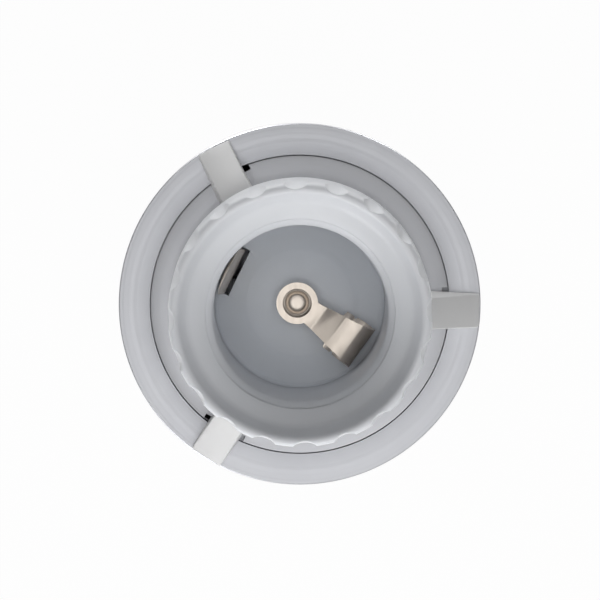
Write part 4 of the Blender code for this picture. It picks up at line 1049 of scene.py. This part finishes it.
@dataclass
class CentreContact:
    """Folded spring strip with its rivet.

    Attributes:
        angle: Direction that the strip points in, in degrees.
        thickness: Metal thickness.
        foot_z: Middle of the lower leaf.
        leaf_z: Middle of the upper leaf.
        fold: Middle of the fold.
        fold_radius: Its radii outward and upward, at the metal's middle.
        fold_widths: The strip's width at the middle of the fold and at its upper end.
        sink: How much lower the ring end is than the leaf at the fold.
        foot: Distance and width along the lower leaf, with its two ears.
        leaf: Distance, drop and width along the upper leaf, from the fold in.
        ring: Outside and hole of the ring end.
        rivet: Head radius, head height and shank radius.
        dome: Share of the head's radius and height, from its top out.
        cup: Radius of the cup round the rivet's head.
        cup_wall: Steps from that radius, and share of the head's height there.
        tail: Height at which the rivet's lower end starts.
        peen: Radius of that end, and share of the head's height below its start.
        edge: Rounding of the sheared edges.
    """

    angle: float = -35.5
    thickness: float = 0.5 * MM
    foot_z: float = 33.75 * MM
    leaf_z: float = 37.2 * MM
    fold: float = 10.4 * MM
    fold_radius: Point = mm(1.95, 1.725)
    fold_widths: Point = mm(7.3, 6.25)
    sink: float = 1.0 * MM
    foot: tuple[Point, ...] = table(
        (-2.2, 3.4), (3.3, 3.8), (7.2, 5.0), (7.4, 6.85),
        (8.7, 6.95), (8.85, 6.4), (9.15, 6.4), (9.3, 7.15),
    )
    leaf: tuple[Place, ...] = table(
        (9.6, 0.0, 6.0), (8.9, 0.01, 5.75), (8.4, 0.05, 5.6), (7.9, 0.12, 5.45),
        (7.5, 0.2, 5.3), (7.2, 0.27, 5.2), (6.6, 0.42, 5.0), (5.0, 0.81, 4.45),
        (4.5, 0.93, 4.3), (4.2, 0.985, 4.2), (3.9, 1.0, 4.1), (2.6, 1.0, 3.9),
    )
    ring: Point = mm(3.3, 2.3)
    rivet: Place = mm(1.5, 0.6, 1.0)
    dome: tuple[Point, ...] = ((0, 1), (0.5, 0.99), (0.8, 0.95), (0.95, 0.72), (1.04, 0.16))
    cup: float = 2.05 * MM
    cup_wall: tuple[Point, ...] = ((-0.12 * MM, 0.8), (0, 0.85), (0.03 * MM, 0.7), (-0.15 * MM, 0))
    tail: float = 24.6 * MM
    peen: tuple[Point, ...] = ((1.7 * MM, 0), (1.4 * MM, 0.7), (0.6 * MM, 1), (0, 1))
    edge: float = 0.07 * MM

    def build(self) -> None:
        """Builds lower leaf, upper leaf and rivet."""
        self.lower_leaf()
        self.upper_leaf()
        self.head()

    def bend(self, first: float, last: float, widths: Point) -> tuple[list[Point], list[float]]:
        """Lays out part of the fold.

        Args:
            first: Start angle in degrees, from the outermost point up.
            last: End angle.
            widths: Width at both ends.

        Returns:
            The points and their widths.
        """
        points, spans = [], []
        for i in range(BEND + 1):
            share = i / BEND
            turn = math.radians(first + (last - first) * share)
            x = self.fold + self.fold_radius[0] * math.cos(turn)
            points.append((x, self.foot_z + self.fold_radius[1] * (1 + math.sin(turn))))
            spans.append(widths[0] + (widths[1] - widths[0]) * share)
        return points, spans

    def place(self, leaf: Workpiece) -> None:
        """Turns a leaf, moves it to the rivet and rounds its edges."""
        leaf.turn(self.angle)
        leaf.shift((*RIVET_AT, 0))
        leaf.soften(self.edge)

    def lower_leaf(self) -> Body:
        """Bends the lower leaf, up to the middle of the fold."""
        points, spans = self.bend(-90, 0, (self.fold_widths[0], self.fold_widths[0]))
        path = [(x, self.foot_z) for x, _ in self.foot] + points
        widths = [width for _, width in self.foot] + spans
        foot = strip("contact_foot_strip", path, widths, self.thickness)
        half = self.thickness / 2 + 0.01 * MM
        middle, (_, _, shank) = self.foot_z, self.rivet
        foot.join(rod("eye", self.ring[1] + FIT, middle - half, middle + half, sides=64))
        foot.cut(rod("hole", shank + FIT, middle - MM, middle + 0.5 * MM))
        self.place(foot)
        return foot.finish(NICKEL, "housing", "contact_foot")

    def upper_leaf(self) -> Body:
        """Bends the upper leaf, from the middle of the fold to the ring end."""
        points, spans = self.bend(0, 90, self.fold_widths)
        path = points + [(x, self.leaf_z - drop) for x, drop, _ in self.leaf]
        widths = spans + [width for _, _, width in self.leaf]
        leaf = strip("contact_leaf_strip", path, widths, self.thickness)
        middle, half = self.leaf_z - self.sink, self.thickness / 2
        low, high = middle - half, middle + half
        outer, hole = self.ring
        leaf.join(rod("ring_end", outer, low, high, sides=96))
        leaf.cut(rod("ring_hole", hole, low - FIT, high + FIT, sides=96))
        self.place(leaf)
        return leaf.finish(NICKEL, "centre_leaf", "contact_leaf")

    def head(self) -> Body:
        """Spins the rivet with its domed head and its peened tail."""
        radius, height, shank = self.rivet
        seat = self.foot_z + self.thickness / 2 + FIT
        profile = [
            *((radius * out, seat + height * up) for out, up in self.dome),
            *((self.cup + out, seat + height * up) for out, up in self.cup_wall), (shank, seat),
            (shank, self.tail), *((out, self.tail - height * down) for out, down in self.peen),
        ]
        rivet = turned("contact_rivet", profile, sides=64, closed=False)
        rivet.shift((*RIVET_AT, 0))
        rivet.soften(0.05 * MM)
        return rivet.finish(NICKEL, "housing", "centre_rivet")


@dataclass
class SideContact:
    """Spring blade that stands up through its slot and leans out to the lamp's shell.

    Attributes:
        path: Distance from the lamp axis, height and width, from the tail up.
        round: Radius, in plan, that its upper part is trimmed to.
        round_z: Lower and upper end of that trim.
        thickness: Metal thickness.
        edge: Rounding of the sheared edges.
    """

    path: tuple[Place, ...] = table(
        (11.65, 24.6, 3.2), (11.65, 25.7, 3.2), (11.65, 26.0, 6.8), (11.65, 33.6, 6.8),
        (11.7, 34.6, 7.6), (11.9, 37.0, 7.8), (12.25, 39.8, 7.8), (12.6, 42.8, 7.8),
        (12.9, 45.6, 7.8),
    )
    round: float = 13.05 * MM
    round_z: Point = mm(34.5, 47)
    thickness: float = 0.5 * MM
    edge: float = 0.07 * MM

    def build(self) -> Body:
        """Bends the blade."""
        points, widths = [(x, z) for x, z, _ in self.path], [width for _, _, width in self.path]
        blade = strip("side_blade_strip", points, widths, self.thickness)
        blade.cut(collar("round", self.round, *self.round_z))
        blade.turn(SIDE_ANGLE)
        blade.soften(self.edge)
        return blade.finish(NICKEL, "side_blade", "side_contact")


# --- bushes ---


@dataclass
class Bushes:
    """Bell-mouthed cord bush in the side wall and threaded entry bush in the rear wall.

    Attributes:
        cord_bore: Radius of the cord's hole.
        bell: Radius of its mouth.
        shank: Radius of the shank.
        head: Radius of the head.
        head_z: Seat and face of the head, from the lamp axis.
        tail: Inner end of the shank, from the lamp axis.
        entry_bore: Radius of the entry's bore.
        entry: Outside of the entry bush.
        entry_z: Underside of its collar and top of the bush.
        entry_collar: Radius and thickness of the collar.
        thread: Depth and pitch of the entry's thread.
        grub: Radius and height of the locking screw's hole.
    """

    cord_bore: float = 1.6 * MM
    bell: float = 2.9 * MM
    shank: float = 2.8 * MM
    head: float = 4.0 * MM
    head_z: Point = mm(25.5, 27.3)
    tail: float = 20.4 * MM
    entry_bore: float = 4.6 * MM
    entry: float = 6.5 * MM
    entry_z: Point = mm(2.3, 7.3)
    entry_collar: Point = mm(9.0, 1.5)
    thread: Point = mm(0.28, 1.0)
    grub: Point = mm(1.5, 5.6)

    def build(self) -> None:
        """Builds both bushes."""
        self.cord_bush()
        self.entry_bush()

    def cord_bush(self) -> Body:
        """Spins the cord's bush about Z and lays it along -Y."""
        seat, face = self.head_z
        flare, edge = self.bell - self.cord_bore, 0.5 * MM
        profile = [
            (self.cord_bore, self.tail), (self.shank, self.tail), (self.shank, seat),
            (self.head, seat), (self.head, face - edge), (self.head - edge, face),
        ]
        for step in range(BEND + 1):
            turn = math.pi / 2 * step / BEND
            out, up = -flare * math.sin(turn), flare * (math.cos(turn) - 1)
            profile.append((self.bell + out, face + up))
        bush = turned("cord_bush_bell", profile, sides=72)
        bush.soften(0.12 * MM, angle=35)
        bush.turn(90, axis=0)
        bush.shift((0, 0, CORD_Z))
        return bush.finish(WHITE, "housing", "cord_bush")

    def entry_bush(self) -> Body:
        """Spins the entry bush with its thread, and drills it for the locking screw."""
        depth, pitch = self.thread
        seat, top = self.entry_z
        wide, thick = self.entry_collar
        root = self.entry_bore + depth
        profile = [(root, top)]
        for number in range(int((top - FIT) / pitch)):
            height = top - 0.1 * MM - number * pitch
            profile.append((self.entry_bore, height - pitch * 0.45))
            profile.append((root, height - pitch * 0.95))
        profile += [
            (root, FIT), (self.entry - FIT, FIT), (self.entry, 2 * FIT), (self.entry, seat),
            (wide, seat), (wide, seat + thick), (self.entry, seat + thick), (self.entry, top),
        ]
        bush = turned("entry_bush_thread", profile, sides=96)
        radius, height = self.grub
        hole = rod("grub", radius, self.entry_bore - MM, self.entry + MM, sides=32)
        hole.turn(-90, axis=1)
        hole.shift((0, 0, height))
        bush.cut(hole)
        bush.soften(0.06 * MM, segments=1, angle=35)
        return bush.finish(BRASS, "housing", "entry_bush")


# --- pieces that stay as the frame has them ---


@dataclass
class InnerWorks:
    """Switch, terminals and fasteners inside the cup, which keep their CAD shape.

    Attributes:
        looks: Each finish, and the CAD nodes that get it.
    """

    looks: tuple[tuple[Finish, str], ...] = (
        (BLACK, "switch_case switch_lid"),
        (ARM_WHITE, "pull_lever ratchet_rotor"),
        (WHITE, "terminal_block"),
        (BRONZE, "contact_cross"),
        (BRASS, "pawl line_strap lamp_strap line_terminal neutral_terminal earth_washer"),
        (ZINC, "switch_axle return_spring line_terminal_screw neutral_terminal_screw block_screw"),
        (ZINC, "case_screw_1 case_screw_2 bush_nut entry_grub_screw earth_screw"),
    )

    def dress(self) -> None:
        """Puts each finish in the material slots of its nodes."""
        for look, nodes in self.looks:
            for node in nodes.split():
                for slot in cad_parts[node].material_slots:
                    slot.material = look.make()
            log.info("%s: CAD shape, %s", nodes, look.name)


def main() -> None:
    """Builds the studio and every piece, from the cup inwards."""
    logging.basicConfig(level=logging.INFO, format="%(name)s: %(message)s")
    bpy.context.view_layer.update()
    Studio().build()
    InnerWorks().dress()
    for group in (Cup(), Clamp(), GripRing(), Barrel(), CentreContact(), SideContact(), Bushes()):
        group.build()


if __name__ == "__main__":
    main()
